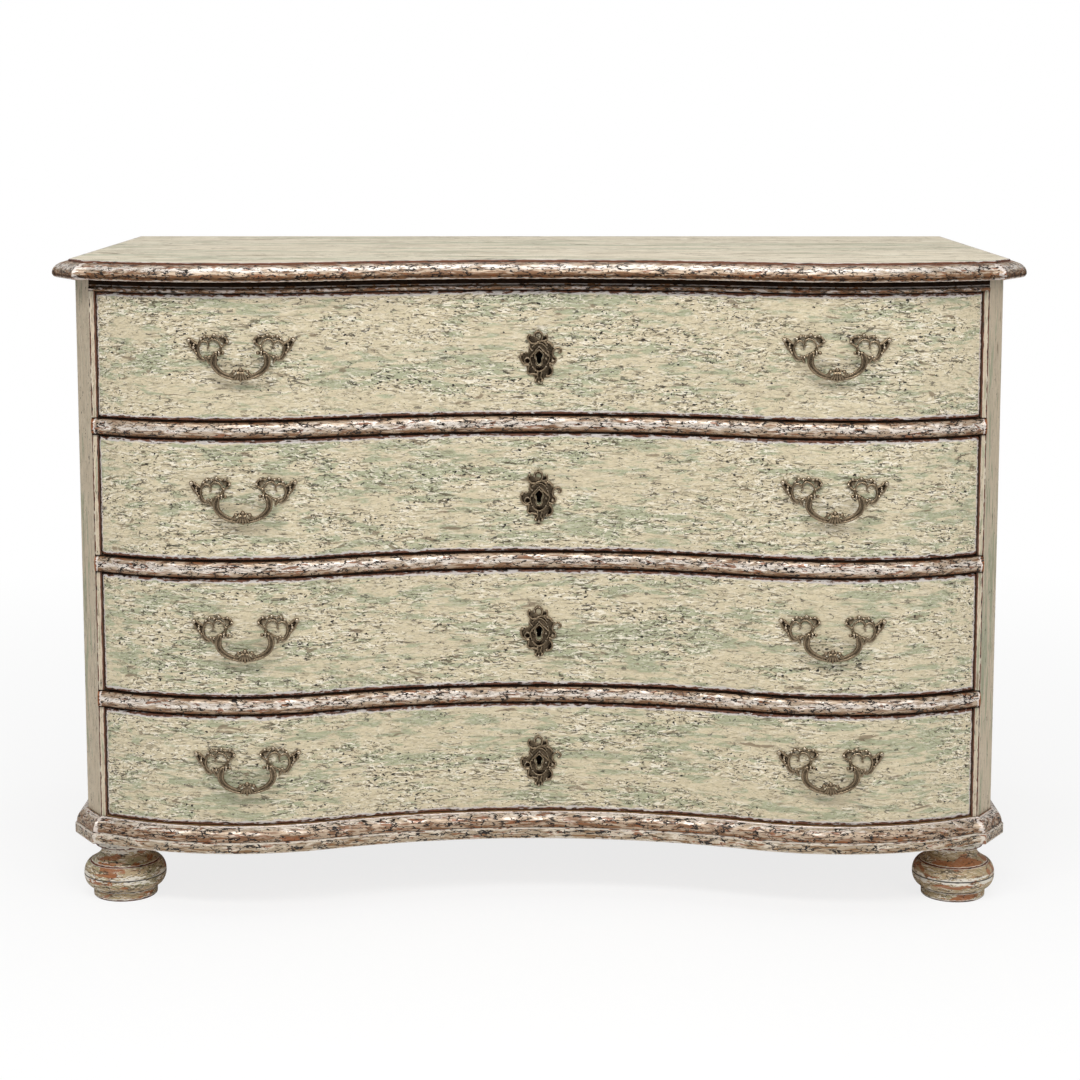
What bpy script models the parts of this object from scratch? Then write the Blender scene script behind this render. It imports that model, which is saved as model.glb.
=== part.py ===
"""Serpentine chest of drawers: the case, four drawers, eight drop handles, four bun feet.

Metres, +Z up. The front looks along -Y. The origin is on the floor, under the middle of the
whole object. In the plan, a forward distance is measured towards the front from the end plane,
the upright plane on which the front faces of all four drawers end.
"""
import math

import bmesh
import bpy
from mathutils import Matrix, Vector

# Clearances.
SEAT_GAP = 0.0003
DRAWER_GAP = 0.0012
BORE_GAP = 0.0005

# The serpentine front, in plan. A bulge's peak lies inward of the drawer's end.
DRAWER_WIDTH = 1.159
BULGE_FROM_END = 0.1735
BULGE_RISE = 0.046
HOLLOW_DEPTH = 0.027
MIDDLE_FLAT = 0.0645
BULGE_INNER_STEPS = 3
BULGE_OUTER_STEPS = 4
HOLLOW_STEPS = 4

# The case.
STILE_WIDTH = 0.0078
STILE_SET_BACK = 0.0008
CANT_WIDTH = 0.0255
CANT_DEPTH = 0.042
CASE_DEPTH = 0.614
POST_DEPTH = 0.060
SIDE_THICKNESS = 0.022
BACK_THICKNESS = 0.012
DRAWER_HEIGHTS = (0.1643, 0.1581, 0.1574, 0.1475)

# Rails and dust boards.
RAIL_HEIGHT = 0.0232
RAIL_DEPTH = 0.045
RAIL_FILLET_OUT = 0.0015
RAIL_FILLET_HIGH = 0.0032
RAIL_NOSE_OUT = 0.0068
RAIL_NOSE_STEPS = 4
DUST_BOARD_THICKNESS = 0.010
BEARER_WIDTH = 0.032
BEARER_HEIGHT = 0.015
GUIDE_HEIGHT = 0.015

# Frieze rail.
FRIEZE_HEIGHT = 0.0155
FRIEZE_FACE_OUT = 0.0008
BEAD_OUT = 0.0056
BEAD_HEIGHT = 0.0055
BEAD_ROUND = 0.0014

# Top board.
TOP_THICKNESS = 0.024
TOP_FIELD_OUT = 0.008
TOP_STEP = 0.003
TOP_NOSE_OUT = 0.029
TOP_BACK_OUT = 0.006
NOSE_UNDERCUT = 0.005
NOSE_WIDEST_HIGH = 0.0062
NOSE_STEPS = 4

# Base moulding and bottom board.
BASE_HEIGHT = 0.034
BASE_OUT = 0.017
BASE_BAND_HEIGHT = 0.0145
BASE_STEP_IN = 0.002
BASE_EDGE_ROUND = 0.0015
BASE_TOP_OUT = 0.0035
BASE_TOP_FILLET = 0.0025
BASE_OVOLO_STEPS = 3
BOTTOM_THICKNESS = 0.020
BOTTOM_RAIL_DEPTH = 0.040

# Turned feet.
FOOT_HEIGHT = 0.085
FOOT_FROM_SIDE = 0.0495
FRONT_FOOT_BACK = 0.040
BACK_FOOT_IN = 0.070
FOOT_DISC_RADIUS = 0.043
FOOT_DISC_HEIGHT = 0.012
FOOT_BELLY_RADIUS = 0.0555
FOOT_BELLY_LOW = 0.01325
FOOT_BELLY_HIGH = 0.0315
BELLY_ARC = (-80, 65)
BELLY_STEPS = 5
FOOT_SHOULDER_RADIUS = 0.0475
FOOT_SHOULDER_HIGH = 0.047
FOOT_NECK_RADIUS = 0.031
FOOT_NECK_HIGH = 0.063
FOOT_COLLAR_RADIUS = 0.039
FOOT_COLLAR_HIGH = 0.070
TENON_RADIUS = 0.0125
TENON_LENGTH = 0.018
TURNING_STEPS = 20

# Drawers.
FRONT_THICKNESS = 0.024
FRONT_ROUND = 0.003
BOX_THICKNESS = 0.012
BOX_SIDE_IN = 0.0005
BOX_BACK_CLEAR = 0.012
BOX_LOWER_THAN_FRONT = 0.012
GROOVE_DEPTH = 0.006
GROOVE_HIGH = 0.012
PANEL_THICKNESS = 0.008

# Locks and keyholes.
KEYHOLE_BULB_RADIUS = 0.005
KEYHOLE_BULB_FROM_TIP = 0.00675
KEYHOLE_BULB_ARC = (20, -52)
KEYHOLE_BULB_STEPS = 3
KEYHOLE_SLOT_WIDTH = 0.006
KEYHOLE_HEIGHT = 0.019
KEYHOLE_BELOW_MIDDLE = 0.007
LOCK_WIDTH = 0.064
LOCK_HEIGHT = 0.048
LOCK_THICKNESS = 0.014
LOCK_CAVITY = 0.009
BOLT_WIDTH = 0.020
BOLT_HEIGHT = 0.003
PLATE_THICKNESS = 0.002

# Handles.
HANDLE_FROM_BULGE = 0.021
EYE_ABOVE_MIDDLE = 0.008
EYE_X = 0.027
EYE_OUT = 0.0145
EYE_RADIUS = 0.005
EYE_THICKNESS = 0.005
EYE_STEPS = 8
SHANK_HEIGHT = 0.006
PIN_RADIUS = 0.0020
ROD_RADIUS = 0.00265
PIN_TAIL = 0.0035
BAIL_HALF_WIDTH = 0.0364
BAIL_DROP = 0.0355
BAIL_WIDEST_DROP = 0.01095
BAIL_STEPS = 5
SHELL_WIDTH = 0.024
SHELL_HEIGHT = 0.019
SHELL_THICKNESS = 0.007
SHELL_FOOT_WIDTH = 0.0132
SHELL_STEPS = 6

# Edges sharper than these stay sharp in the shading.
TURNED_SHARP_DEGREES = 35
BAIL_SHARP_DEGREES = 50

# Outline of the right plate of a handle, as (x, z) from the handle's middle at eye height.
HANDLE_PLATE = (
    (0.0171, 0.0134), (0.0198, 0.0190), (0.0265, 0.0223), (0.0349, 0.0242), (0.0455, 0.0234),
    (0.0527, 0.0200), (0.0546, 0.0139), (0.0622, 0.0173), (0.0683, 0.0184), (0.0720, 0.0145),
    (0.0706, 0.0100), (0.0656, 0.0050), (0.0633, -0.0006), (0.0577, -0.0072), (0.0510, -0.0123),
    (0.0444, -0.0106), (0.0421, -0.0156), (0.0385, -0.0120), (0.0330, -0.0040), (0.0270, -0.0045),
    (0.0222, 0.0020),
)
HANDLE_PLATE_MIDDLE_X = 0.0446
HANDLE_PLATE_HOLE = (
    (0.0315, 0.0090), (0.0340, 0.0135), (0.0400, 0.0150), (0.0460, 0.0110), (0.0533, 0.0106),
    (0.0550, 0.0017), (0.0500, -0.0060), (0.0400, -0.0028),
)

# Outline of the escutcheon, as (x, z) from the keyhole's middle.
ESCUTCHEON = (
    (-0.0012, 0.0393), (0.0049, 0.0345), (0.0125, 0.0290), (0.0104, 0.0225), (0.0180, 0.0200),
    (0.0200, 0.0148), (0.0262, 0.0148), (0.0308, 0.0105), (0.0300, 0.0062), (0.0235, 0.0040),
    (0.0240, -0.0035), (0.0165, -0.0105), (0.0186, -0.0165), (0.0160, -0.0235), (0.0085, -0.0275),
    (0.0050, -0.0340), (-0.0005, -0.0360), (-0.0055, -0.0330), (-0.0070, -0.0260),
    (-0.0155, -0.0225), (-0.0185, -0.0130), (-0.0240, -0.0050), (-0.0256, 0.0050),
    (-0.0220, 0.0095), (-0.0155, 0.0085), (-0.0135, 0.0170), (-0.0160, 0.0280), (-0.0125, 0.0315),
    (-0.0065, 0.0310),
)

# What follows from the sizes above.
HALF_DRAWER = DRAWER_WIDTH / 2
BULGE_X = HALF_DRAWER - BULGE_FROM_END
HANDLE_X = BULGE_X - HANDLE_FROM_BULGE
BULGE_RADIUS = ((HALF_DRAWER - BULGE_X) ** 2 + BULGE_RISE ** 2) / (2 * BULGE_RISE)
WAVE_DEPTH = BULGE_RISE + HOLLOW_DEPTH
HOLLOW_RADIUS = (BULGE_X ** 2 + WAVE_DEPTH ** 2) / (2 * WAVE_DEPTH) - BULGE_RADIUS
BULGE_CENTRE = BULGE_RISE - BULGE_RADIUS
HOLLOW_CENTRE = HOLLOW_RADIUS - HOLLOW_DEPTH
TURN_ANGLE = math.atan2(BULGE_X, HOLLOW_CENTRE - BULGE_CENTRE)
FLAT_ANGLE = math.asin(MIDDLE_FLAT / 2 / HOLLOW_RADIUS)
POST_INNER_X = HALF_DRAWER + DRAWER_GAP
STILE_EDGE_X = POST_INNER_X + STILE_WIDTH
CASE_HALF_WIDTH = STILE_EDGE_X + CANT_WIDTH
SIDE_INNER_X = CASE_HALF_WIDTH - SIDE_THICKNESS
FOOT_X = CASE_HALF_WIDTH - FOOT_FROM_SIDE
RAIL_HALF_WIDTH = POST_INNER_X - SEAT_GAP
OVERALL_DEPTH = BULGE_RISE + TOP_NOSE_OUT + CASE_DEPTH + TOP_BACK_OUT
END_PLANE_Y = BULGE_RISE + TOP_NOSE_OUT - OVERALL_DEPTH / 2
BACK_INNER = -(CASE_DEPTH - BACK_THICKNESS - SEAT_GAP)
BASE_TOP = FOOT_HEIGHT + BASE_HEIGHT
DRAWER_PITCH_EXTRA = RAIL_HEIGHT + 2 * DRAWER_GAP
BOX_HALF_WIDTH = HALF_DRAWER - BOX_SIDE_IN


def drawer_bottom(number):
    """Height of the lower edge of a drawer's front; drawer 1 is the top one."""
    below = DRAWER_HEIGHTS[number:]
    return BASE_TOP + DRAWER_GAP + sum(below) + len(below) * DRAWER_PITCH_EXTRA


CASE_TOP = drawer_bottom(1) + DRAWER_HEIGHTS[0] + DRAWER_GAP + FRIEZE_HEIGHT


def material(name, colour, roughness, metallic):
    """A plain Principled material."""
    made = bpy.data.materials.new(name)
    made.use_nodes = True
    shader = made.node_tree.nodes["Principled BSDF"]
    shader.inputs["Base Color"].default_value = (*colour, 1.0)
    shader.inputs["Roughness"].default_value = roughness
    shader.inputs["Metallic"].default_value = metallic
    return made


def new_object(name, mesh, finish, parent=None, location=(0, 0, 0), turn=0.0):
    """Link a mesh as an object, placed by its location and its turn about Z."""
    made = bpy.data.objects.new(name, mesh)
    bpy.context.scene.collection.objects.link(made)
    if finish and not mesh.materials:
        mesh.materials.append(finish)
    made.parent = parent
    made.location = location
    made.rotation_euler = (0, 0, turn)
    return made


def to_mesh(name, builder):
    """Turn a bmesh into a mesh whose faces all point outwards."""
    bmesh.ops.recalc_face_normals(builder, faces=builder.faces)
    mesh = bpy.data.meshes.new(name)
    builder.to_mesh(mesh)
    builder.free()
    return mesh


def shade_round(mesh, sharp_degrees):
    """Shade a round piece smooth, and keep its real edges sharp."""
    mesh.shade_smooth()
    mesh.set_sharp_from_angle(angle=math.radians(sharp_degrees))


def prism(name, outline, start, end):
    """Extrude a closed outline from start by the vector from start to end."""
    builder = bmesh.new()
    corners = [builder.verts.new(Vector(start) + Vector(point)) for point in outline]
    face = builder.faces.new(corners)
    grown = bmesh.ops.extrude_face_region(builder, geom=[face])
    moved = [item for item in grown["geom"] if isinstance(item, bmesh.types.BMVert)]
    bmesh.ops.translate(builder, verts=moved, vec=Vector(end) - Vector(start))
    return to_mesh(name, builder)


def plan_board(name, outline, low, high):
    """A board with an upright edge: its outline is (x, forward) points."""
    points = [(x, -forward, 0) for x, forward in outline]
    return prism(name, points, (0, 0, low), (0, 0, high))


def skin(builder, rows, closed):
    """Faces between rows of corners, back to the first row too where the section is closed."""
    grid = [[builder.verts.new(point) for point in row] for row in rows]
    pairs = list(zip(grid, grid[1:]))
    if closed:
        pairs.append((grid[-1], grid[0]))
    for lower, upper in pairs:
        for index in range(len(lower) - 1):
            builder.faces.new((lower[index], lower[index + 1], upper[index + 1], upper[index]))
    return grid


def front_line(offset, half_width):
    """The serpentine moved forward by offset, from -half_width to half_width, as (x, forward).

    One facet lies flat across the middle, where the keyhole plate and the lock are seated.
    """
    bulge = BULGE_RADIUS + offset
    hollow = HOLLOW_RADIUS - offset
    last = math.asin((half_width - BULGE_X) / bulge)
    right = []
    for step in range(HOLLOW_STEPS + 1):
        angle = FLAT_ANGLE + (TURN_ANGLE - FLAT_ANGLE) * step / HOLLOW_STEPS
        right.append((hollow * math.sin(angle), HOLLOW_CENTRE - hollow * math.cos(angle)))
    angles = [-TURN_ANGLE * step / BULGE_INNER_STEPS for step in range(BULGE_INNER_STEPS - 1, -1, -1)]
    angles += [last * (step + 1) / BULGE_OUTER_STEPS for step in range(BULGE_OUTER_STEPS)]
    for angle in angles:
        right.append((BULGE_X + bulge * math.sin(angle), BULGE_CENTRE + bulge * math.cos(angle)))
    left = [(-x, forward) for x, forward in reversed(right)]
    return left + right


def forward_at(line, x):
    """Forward distance of a line of straight facets at x."""
    for (x0, forward0), (x1, forward1) in zip(line, line[1:]):
        if x0 <= x <= x1:
            return forward0 + (forward1 - forward0) * (x - x0) / (x1 - x0)
    return line[-1][1]


def bulge_forward(x):
    """Forward distance of the true drawer front on a bulge."""
    return BULGE_CENTRE + math.sqrt(BULGE_RADIUS ** 2 - (abs(x) - BULGE_X) ** 2)


def case_line(offset, back):
    """The case's outline moved out by offset, from the back left corner round to the back right."""
    cant_length = math.hypot(CANT_WIDTH, CANT_DEPTH)
    out_x, out_forward = CANT_DEPTH / cant_length, CANT_WIDTH / cant_length
    meets_stile = BULGE_X + math.sqrt((BULGE_RADIUS + offset) ** 2 - (offset - BULGE_CENTRE) ** 2)
    front_share = offset / (1 + out_forward)
    side_share = offset / (1 + out_x)
    right = [
        (STILE_EDGE_X + front_share * out_x, offset),
        (CASE_HALF_WIDTH + offset, -CANT_DEPTH + side_share * out_forward),
        (CASE_HALF_WIDTH + offset, back),
    ]
    left = [(-x, forward) for x, forward in reversed(right)]
    return left + front_line(offset, meets_stile) + right


def moulded_ring(name, profile, low, back):
    """A moulding that runs round the sides, the cants and the front, with a closed profile."""
    builder = bmesh.new()
    rows = []
    for offset, height in profile:
        rows.append([(x, -forward, low + height) for x, forward in case_line(offset, back)])
    grid = skin(builder, rows, closed=True)
    builder.faces.new([row[0] for row in grid])
    builder.faces.new([row[-1] for row in grid])
    return to_mesh(name, builder)


def front_bar(name, profile, half_width, nose=(), nose_half_width=0.0, back=None):
    """A bar that follows the serpentine front, with flat ends at half_width.

    The profile is (offset, height) points; an offset of None stands for the straight back line.
    The nose's points come first, and run on past the ends to nose_half_width.
    """
    points = list(nose) + list(profile)
    builder = bmesh.new()
    rows = []
    for offset, height in points:
        line = front_line(-RAIL_DEPTH if offset is None else offset, half_width)
        if offset is None:
            line = [(x, back) for x, _ in line]
        rows.append([(x, -forward, height) for x, forward in line])
    grid = skin(builder, rows, closed=True)
    for side, column in ((-1, 0), (1, -1)):
        end = [row[column] for row in grid]
        if not nose:
            builder.faces.new(end)
            continue
        tip_x = side * nose_half_width
        tip = [builder.verts.new((tip_x, STILE_SET_BACK - offset, height)) for offset, height in nose]
        count = len(nose)
        for index in range(count):
            following = (index + 1) % count
            builder.faces.new((end[index], end[following], tip[following], tip[index]))
        builder.faces.new(tip)
        builder.faces.new([end[0]] + end[count - 1:])
    return to_mesh(name, builder)


def arc(centre, radii, start, stop, steps):
    """Points on an ellipse between two angles in degrees, both ends included."""
    points = []
    for step in range(steps + 1):
        angle = math.radians(start + (stop - start) * step / steps)
        points.append((centre[0] + radii[0] * math.cos(angle), centre[1] + radii[1] * math.sin(angle)))
    return points


def top_board(finish):
    """The top: a field one step above a rounded thumbnail edge."""
    widest = (TOP_FIELD_OUT, NOSE_WIDEST_HIGH)
    rise = TOP_THICKNESS - TOP_STEP - NOSE_WIDEST_HIGH
    profile = [(TOP_NOSE_OUT - NOSE_UNDERCUT, 0.0)]
    profile += arc(widest, (TOP_NOSE_OUT - TOP_FIELD_OUT, rise), 0, 90, NOSE_STEPS)
    profile.append((TOP_FIELD_OUT, TOP_THICKNESS))
    low = CASE_TOP + SEAT_GAP
    builder = bmesh.new()
    rows = []
    for offset, height in profile:
        line = case_line(offset, -CASE_DEPTH - TOP_BACK_OUT)
        rows.append([(x, -forward, low + height) for x, forward in line])
    grid = skin(builder, rows, closed=False)
    builder.faces.new(grid[0])
    builder.faces.new(grid[-1])
    builder.faces.new([row[0] for row in grid] + [row[-1] for row in reversed(grid)])
    return new_object("top_board", to_mesh("top_board", builder), finish, location=(0, END_PLANE_Y, 0))


def base_moulding(finish):
    """The base: a flat band, a small step, an ovolo and a top fillet."""
    ovolo_low = BASE_BAND_HEIGHT + BASE_STEP_IN
    ovolo_high = BASE_HEIGHT - BASE_TOP_FILLET
    reach = BASE_OUT - BASE_STEP_IN - BASE_TOP_OUT
    profile = [
        (SEAT_GAP, 0.0),
        (BASE_OUT - BASE_EDGE_ROUND, 0.0),
        (BASE_OUT, BASE_EDGE_ROUND),
        (BASE_OUT, BASE_BAND_HEIGHT),
        (BASE_OUT - BASE_STEP_IN, BASE_BAND_HEIGHT),
    ]
    profile += arc((BASE_TOP_OUT, ovolo_low), (reach, ovolo_high - ovolo_low), 0, 90, BASE_OVOLO_STEPS)
    profile += [(BASE_TOP_OUT, BASE_HEIGHT), (SEAT_GAP, BASE_HEIGHT)]
    mesh = moulded_ring("base_moulding", profile, FOOT_HEIGHT, -CASE_DEPTH)
    return new_object("base_moulding", mesh, finish, location=(0, END_PLANE_Y, 0))


def rail_nose():
    """A fillet, a half-round and a fillet, from the rail's lower edge to its upper edge."""
    middle = RAIL_HEIGHT / 2
    radii = (RAIL_NOSE_OUT - RAIL_FILLET_OUT, middle - RAIL_FILLET_HIGH)
    points = [(SEAT_GAP, 0.0), (RAIL_FILLET_OUT, 0.0)]
    points += arc((RAIL_FILLET_OUT, middle), radii, -90, 90, RAIL_NOSE_STEPS)
    points += [(RAIL_FILLET_OUT, RAIL_HEIGHT), (SEAT_GAP, RAIL_HEIGHT)]
    return points


def divider(number, finish):
    """The rail under a drawer, with the dust board behind it."""
    under_board = RAIL_HEIGHT - DUST_BOARD_THICKNESS
    profile = [
        (None, RAIL_HEIGHT),
        (None, under_board),
        (-RAIL_DEPTH, under_board),
        (-RAIL_DEPTH, 0.0),
    ]
    name = f"divider_{number}"
    mesh = front_bar(name, profile, RAIL_HALF_WIDTH, rail_nose(), STILE_EDGE_X, BACK_INNER)
    low = drawer_bottom(number) - DRAWER_GAP - RAIL_HEIGHT
    return new_object(name, mesh, finish, location=(0, END_PLANE_Y, low))


def frieze_rail(finish):
    """The rail over the top drawer, with a bead along its lower edge."""
    nose = [
        (SEAT_GAP, 0.0),
        (BEAD_OUT - BEAD_ROUND, 0.0),
        (BEAD_OUT, BEAD_ROUND),
        (BEAD_OUT, BEAD_HEIGHT - BEAD_ROUND),
        (BEAD_OUT - BEAD_ROUND, BEAD_HEIGHT),
        (FRIEZE_FACE_OUT, BEAD_HEIGHT),
        (FRIEZE_FACE_OUT, FRIEZE_HEIGHT),
        (SEAT_GAP, FRIEZE_HEIGHT),
    ]
    profile = [(-RAIL_DEPTH, FRIEZE_HEIGHT), (-RAIL_DEPTH, 0.0)]
    mesh = front_bar("frieze_rail", profile, RAIL_HALF_WIDTH, nose, STILE_EDGE_X)
    return new_object("frieze_rail", mesh, finish, location=(0, END_PLANE_Y, CASE_TOP - FRIEZE_HEIGHT))


def corner_post(side, finish):
    """A front post: a narrow stile beside the drawers and a canted outer face."""
    outline = [
        (side * POST_INNER_X, -STILE_SET_BACK),
        (side * STILE_EDGE_X, -STILE_SET_BACK),
        (side * CASE_HALF_WIDTH, -CANT_DEPTH),
        (side * CASE_HALF_WIDTH, -POST_DEPTH),
        (side * POST_INNER_X, -POST_DEPTH),
    ]
    name = "left_corner_post" if side < 0 else "right_corner_post"
    mesh = plan_board(name, outline, FOOT_HEIGHT + SEAT_GAP, CASE_TOP)
    return new_object(name, mesh, finish, location=(0, END_PLANE_Y, 0))


def side_panel(side, finish):
    """A side board with the battens that carry the dust boards and guide the drawers."""
    bearer_x = CASE_HALF_WIDTH - SIDE_THICKNESS - BEARER_WIDTH
    low = FOOT_HEIGHT + SEAT_GAP
    outline = [(CASE_HALF_WIDTH, low), (POST_INNER_X, low)]
    outline.append((POST_INNER_X, FOOT_HEIGHT + BOTTOM_THICKNESS + SEAT_GAP))
    outline.append((bearer_x, FOOT_HEIGHT + BOTTOM_THICKNESS + SEAT_GAP))
    outline += [(bearer_x, BASE_TOP), (POST_INNER_X, BASE_TOP)]
    outline += [(POST_INNER_X, BASE_TOP + GUIDE_HEIGHT), (SIDE_INNER_X, BASE_TOP + GUIDE_HEIGHT)]
    for number in (3, 2, 1):
        board_top = drawer_bottom(number) - DRAWER_GAP
        board_low = board_top - DUST_BOARD_THICKNESS - SEAT_GAP
        outline += [
            (SIDE_INNER_X, board_low - BEARER_HEIGHT),
            (bearer_x, board_low - BEARER_HEIGHT),
            (bearer_x, board_low),
            (POST_INNER_X, board_low),
            (POST_INNER_X, board_top + GUIDE_HEIGHT),
            (SIDE_INNER_X, board_top + GUIDE_HEIGHT),
        ]
    outline += [(SIDE_INNER_X, CASE_TOP), (CASE_HALF_WIDTH, CASE_TOP)]
    points = [(side * x, 0, z) for x, z in outline]
    name = "left_side_panel" if side < 0 else "right_side_panel"
    mesh = prism(name, points, (0, POST_DEPTH + SEAT_GAP, 0), (0, -BACK_INNER, 0))
    return new_object(name, mesh, finish, location=(0, END_PLANE_Y, 0))


def back_panel(finish):
    """The back board, planted on the rear edges of the case."""
    half = CASE_HALF_WIDTH
    outline = [(-half, -CASE_DEPTH), (half, -CASE_DEPTH), (half, BACK_INNER - SEAT_GAP)]
    outline.append((-half, BACK_INNER - SEAT_GAP))
    mesh = plan_board("back_panel", outline, FOOT_HEIGHT + SEAT_GAP, CASE_TOP)
    return new_object("back_panel", mesh, finish, location=(0, END_PLANE_Y, 0))


def hide_cutter(cutter):
    """Keep a cutter out of the finished model."""
    cutter.hide_render = True
    cutter.display_type = "WIRE"


def combine(target, other, operation):
    """Cut or join with an exact Boolean."""
    modifier = target.modifiers.new(other.name, "BOOLEAN")
    modifier.operation = operation
    modifier.solver = "EXACT"
    modifier.object = other


def foot_places():
    """Name, x and forward distance of each foot's axis."""
    front, rear = -FRONT_FOOT_BACK, -(CASE_DEPTH - BACK_FOOT_IN)
    return (
        ("front_left_foot", -FOOT_X, front),
        ("front_right_foot", FOOT_X, front),
        ("back_left_foot", -FOOT_X, rear),
        ("back_right_foot", FOOT_X, rear),
    )


def turned(name, profile):
    """Spin a profile of (radius, height) points, which starts and ends on the axis."""
    builder = bmesh.new()
    corners = [builder.verts.new((radius, 0, height)) for radius, height in profile]
    edges = [builder.edges.new(pair) for pair in zip(corners, corners[1:])]
    bmesh.ops.spin(
        builder, geom=corners + edges, cent=(0, 0, 0), axis=(0, 0, 1), angle=2 * math.pi,
        steps=TURNING_STEPS, use_merge=True,
    )
    bmesh.ops.remove_doubles(builder, verts=builder.verts, dist=SEAT_GAP / 10)
    mesh = to_mesh(name, builder)
    shade_round(mesh, TURNED_SHARP_DEGREES)
    return mesh


def foot_mesh():
    """A bun foot: disc, belly, groove, cyma shoulder, neck, collar and tenon."""
    radii = (FOOT_BELLY_RADIUS - FOOT_DISC_RADIUS, FOOT_BELLY_HIGH - FOOT_BELLY_LOW)
    belly = arc((FOOT_DISC_RADIUS, FOOT_BELLY_HIGH), radii, *BELLY_ARC, BELLY_STEPS)
    top = FOOT_HEIGHT - SEAT_GAP
    waist = (FOOT_SHOULDER_RADIUS + FOOT_NECK_RADIUS) / 2
    waist_high = (FOOT_SHOULDER_HIGH + FOOT_NECK_HIGH) / 2
    profile = [(0.0, 0.0), (FOOT_DISC_RADIUS, 0.0), (FOOT_DISC_RADIUS, FOOT_DISC_HEIGHT)]
    profile += belly
    profile += [
        (FOOT_SHOULDER_RADIUS, FOOT_SHOULDER_HIGH),
        (waist, waist_high),
        (FOOT_NECK_RADIUS, FOOT_NECK_HIGH),
        (FOOT_COLLAR_RADIUS, FOOT_COLLAR_HIGH),
        (FOOT_COLLAR_RADIUS, top),
        (TENON_RADIUS, top),
        (TENON_RADIUS, top + TENON_LENGTH),
        (0.0, top + TENON_LENGTH),
    ]
    return turned("foot", profile)


def feet(finish):
    """Four feet that share one turned mesh."""
    mesh = foot_mesh()
    for name, x, forward in foot_places():
        new_object(name, mesh, finish, location=(x, END_PLANE_Y - forward, 0))


def bottom_board(finish):
    """The bottom, with a raised front rail and a socket over each foot."""
    profile = [
        (0.0, 0.0),
        (0.0, BASE_HEIGHT - SEAT_GAP),
        (-BOTTOM_RAIL_DEPTH, BASE_HEIGHT - SEAT_GAP),
        (-BOTTOM_RAIL_DEPTH, BOTTOM_THICKNESS),
        (None, BOTTOM_THICKNESS),
        (None, 0.0),
    ]
    mesh = front_bar("bottom_board", profile, RAIL_HALF_WIDTH, back=BACK_INNER)
    low = FOOT_HEIGHT + SEAT_GAP
    board = new_object("bottom_board", mesh, finish, location=(0, END_PLANE_Y, low))
    radius = TENON_RADIUS + BORE_GAP
    depth = TENON_LENGTH + BORE_GAP
    socket = turned("foot_socket", [(0.0, -depth), (radius, -depth), (radius, depth), (0.0, depth)])
    for name, x, forward in foot_places():
        cutter = new_object(f"{name}_socket", socket, None)
        cutter.location = (x, END_PLANE_Y - forward, low)
        hide_cutter(cutter)
        combine(board, cutter, "DIFFERENCE")
    return board


def keyhole_outline():
    """The keyhole round its middle: a bulb with a pointed top over a straight slot."""
    half = KEYHOLE_HEIGHT / 2
    slot = KEYHOLE_SLOT_WIDTH / 2
    middle = (0.0, half - KEYHOLE_BULB_FROM_TIP)
    right = arc(middle, (KEYHOLE_BULB_RADIUS,) * 2, *KEYHOLE_BULB_ARC, KEYHOLE_BULB_STEPS)
    right.append((slot, -half + slot))
    left = [(-x, z) for x, z in reversed(right)]
    return [(0.0, half)] + right + [(0.0, -half)] + left


def keyhole_cutter(name, parent, height, front, back):
    """A hidden cutter through whatever lies between two forward distances."""
    points = [(x, 0, height + z) for x, z in keyhole_outline()]
    mesh = prism(name, points, (0, -front, 0), (0, -back, 0))
    cutter = new_object(name, mesh, None, parent)
    hide_cutter(cutter)
    return cutter


def drawer_front(number, height, parent, finish):
    """A drawer front sawn to the serpentine, with rounded edges, a bottom groove and a keyhole."""
    round_cut = FRONT_ROUND * (1 - math.sqrt(0.5))
    groove_low = GROOVE_HIGH - DRAWER_GAP
    groove_high = groove_low + PANEL_THICKNESS + 2 * SEAT_GAP
    profile = [
        (-FRONT_ROUND, 0.0), (-round_cut, round_cut), (0.0, FRONT_ROUND),
        (0.0, height - FRONT_ROUND), (-round_cut, height - round_cut), (-FRONT_ROUND, height),
        (-FRONT_THICKNESS, height), (-FRONT_THICKNESS, groove_high),
        (-FRONT_THICKNESS + GROOVE_DEPTH, groove_high), (-FRONT_THICKNESS + GROOVE_DEPTH, groove_low),
        (-FRONT_THICKNESS, groove_low), (-FRONT_THICKNESS, 0.0),
    ]
    name = f"drawer_{number}_front"
    made = new_object(name, front_bar(name, profile, HALF_DRAWER), finish, parent)
    keyhole_high = height / 2 - KEYHOLE_BELOW_MIDDLE
    front = -HOLLOW_DEPTH + FRONT_THICKNESS
    cutter = keyhole_cutter(f"{name}_keyhole", parent, keyhole_high, front, front - 3 * FRONT_THICKNESS)
    combine(made, cutter, "DIFFERENCE")
    return made


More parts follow.
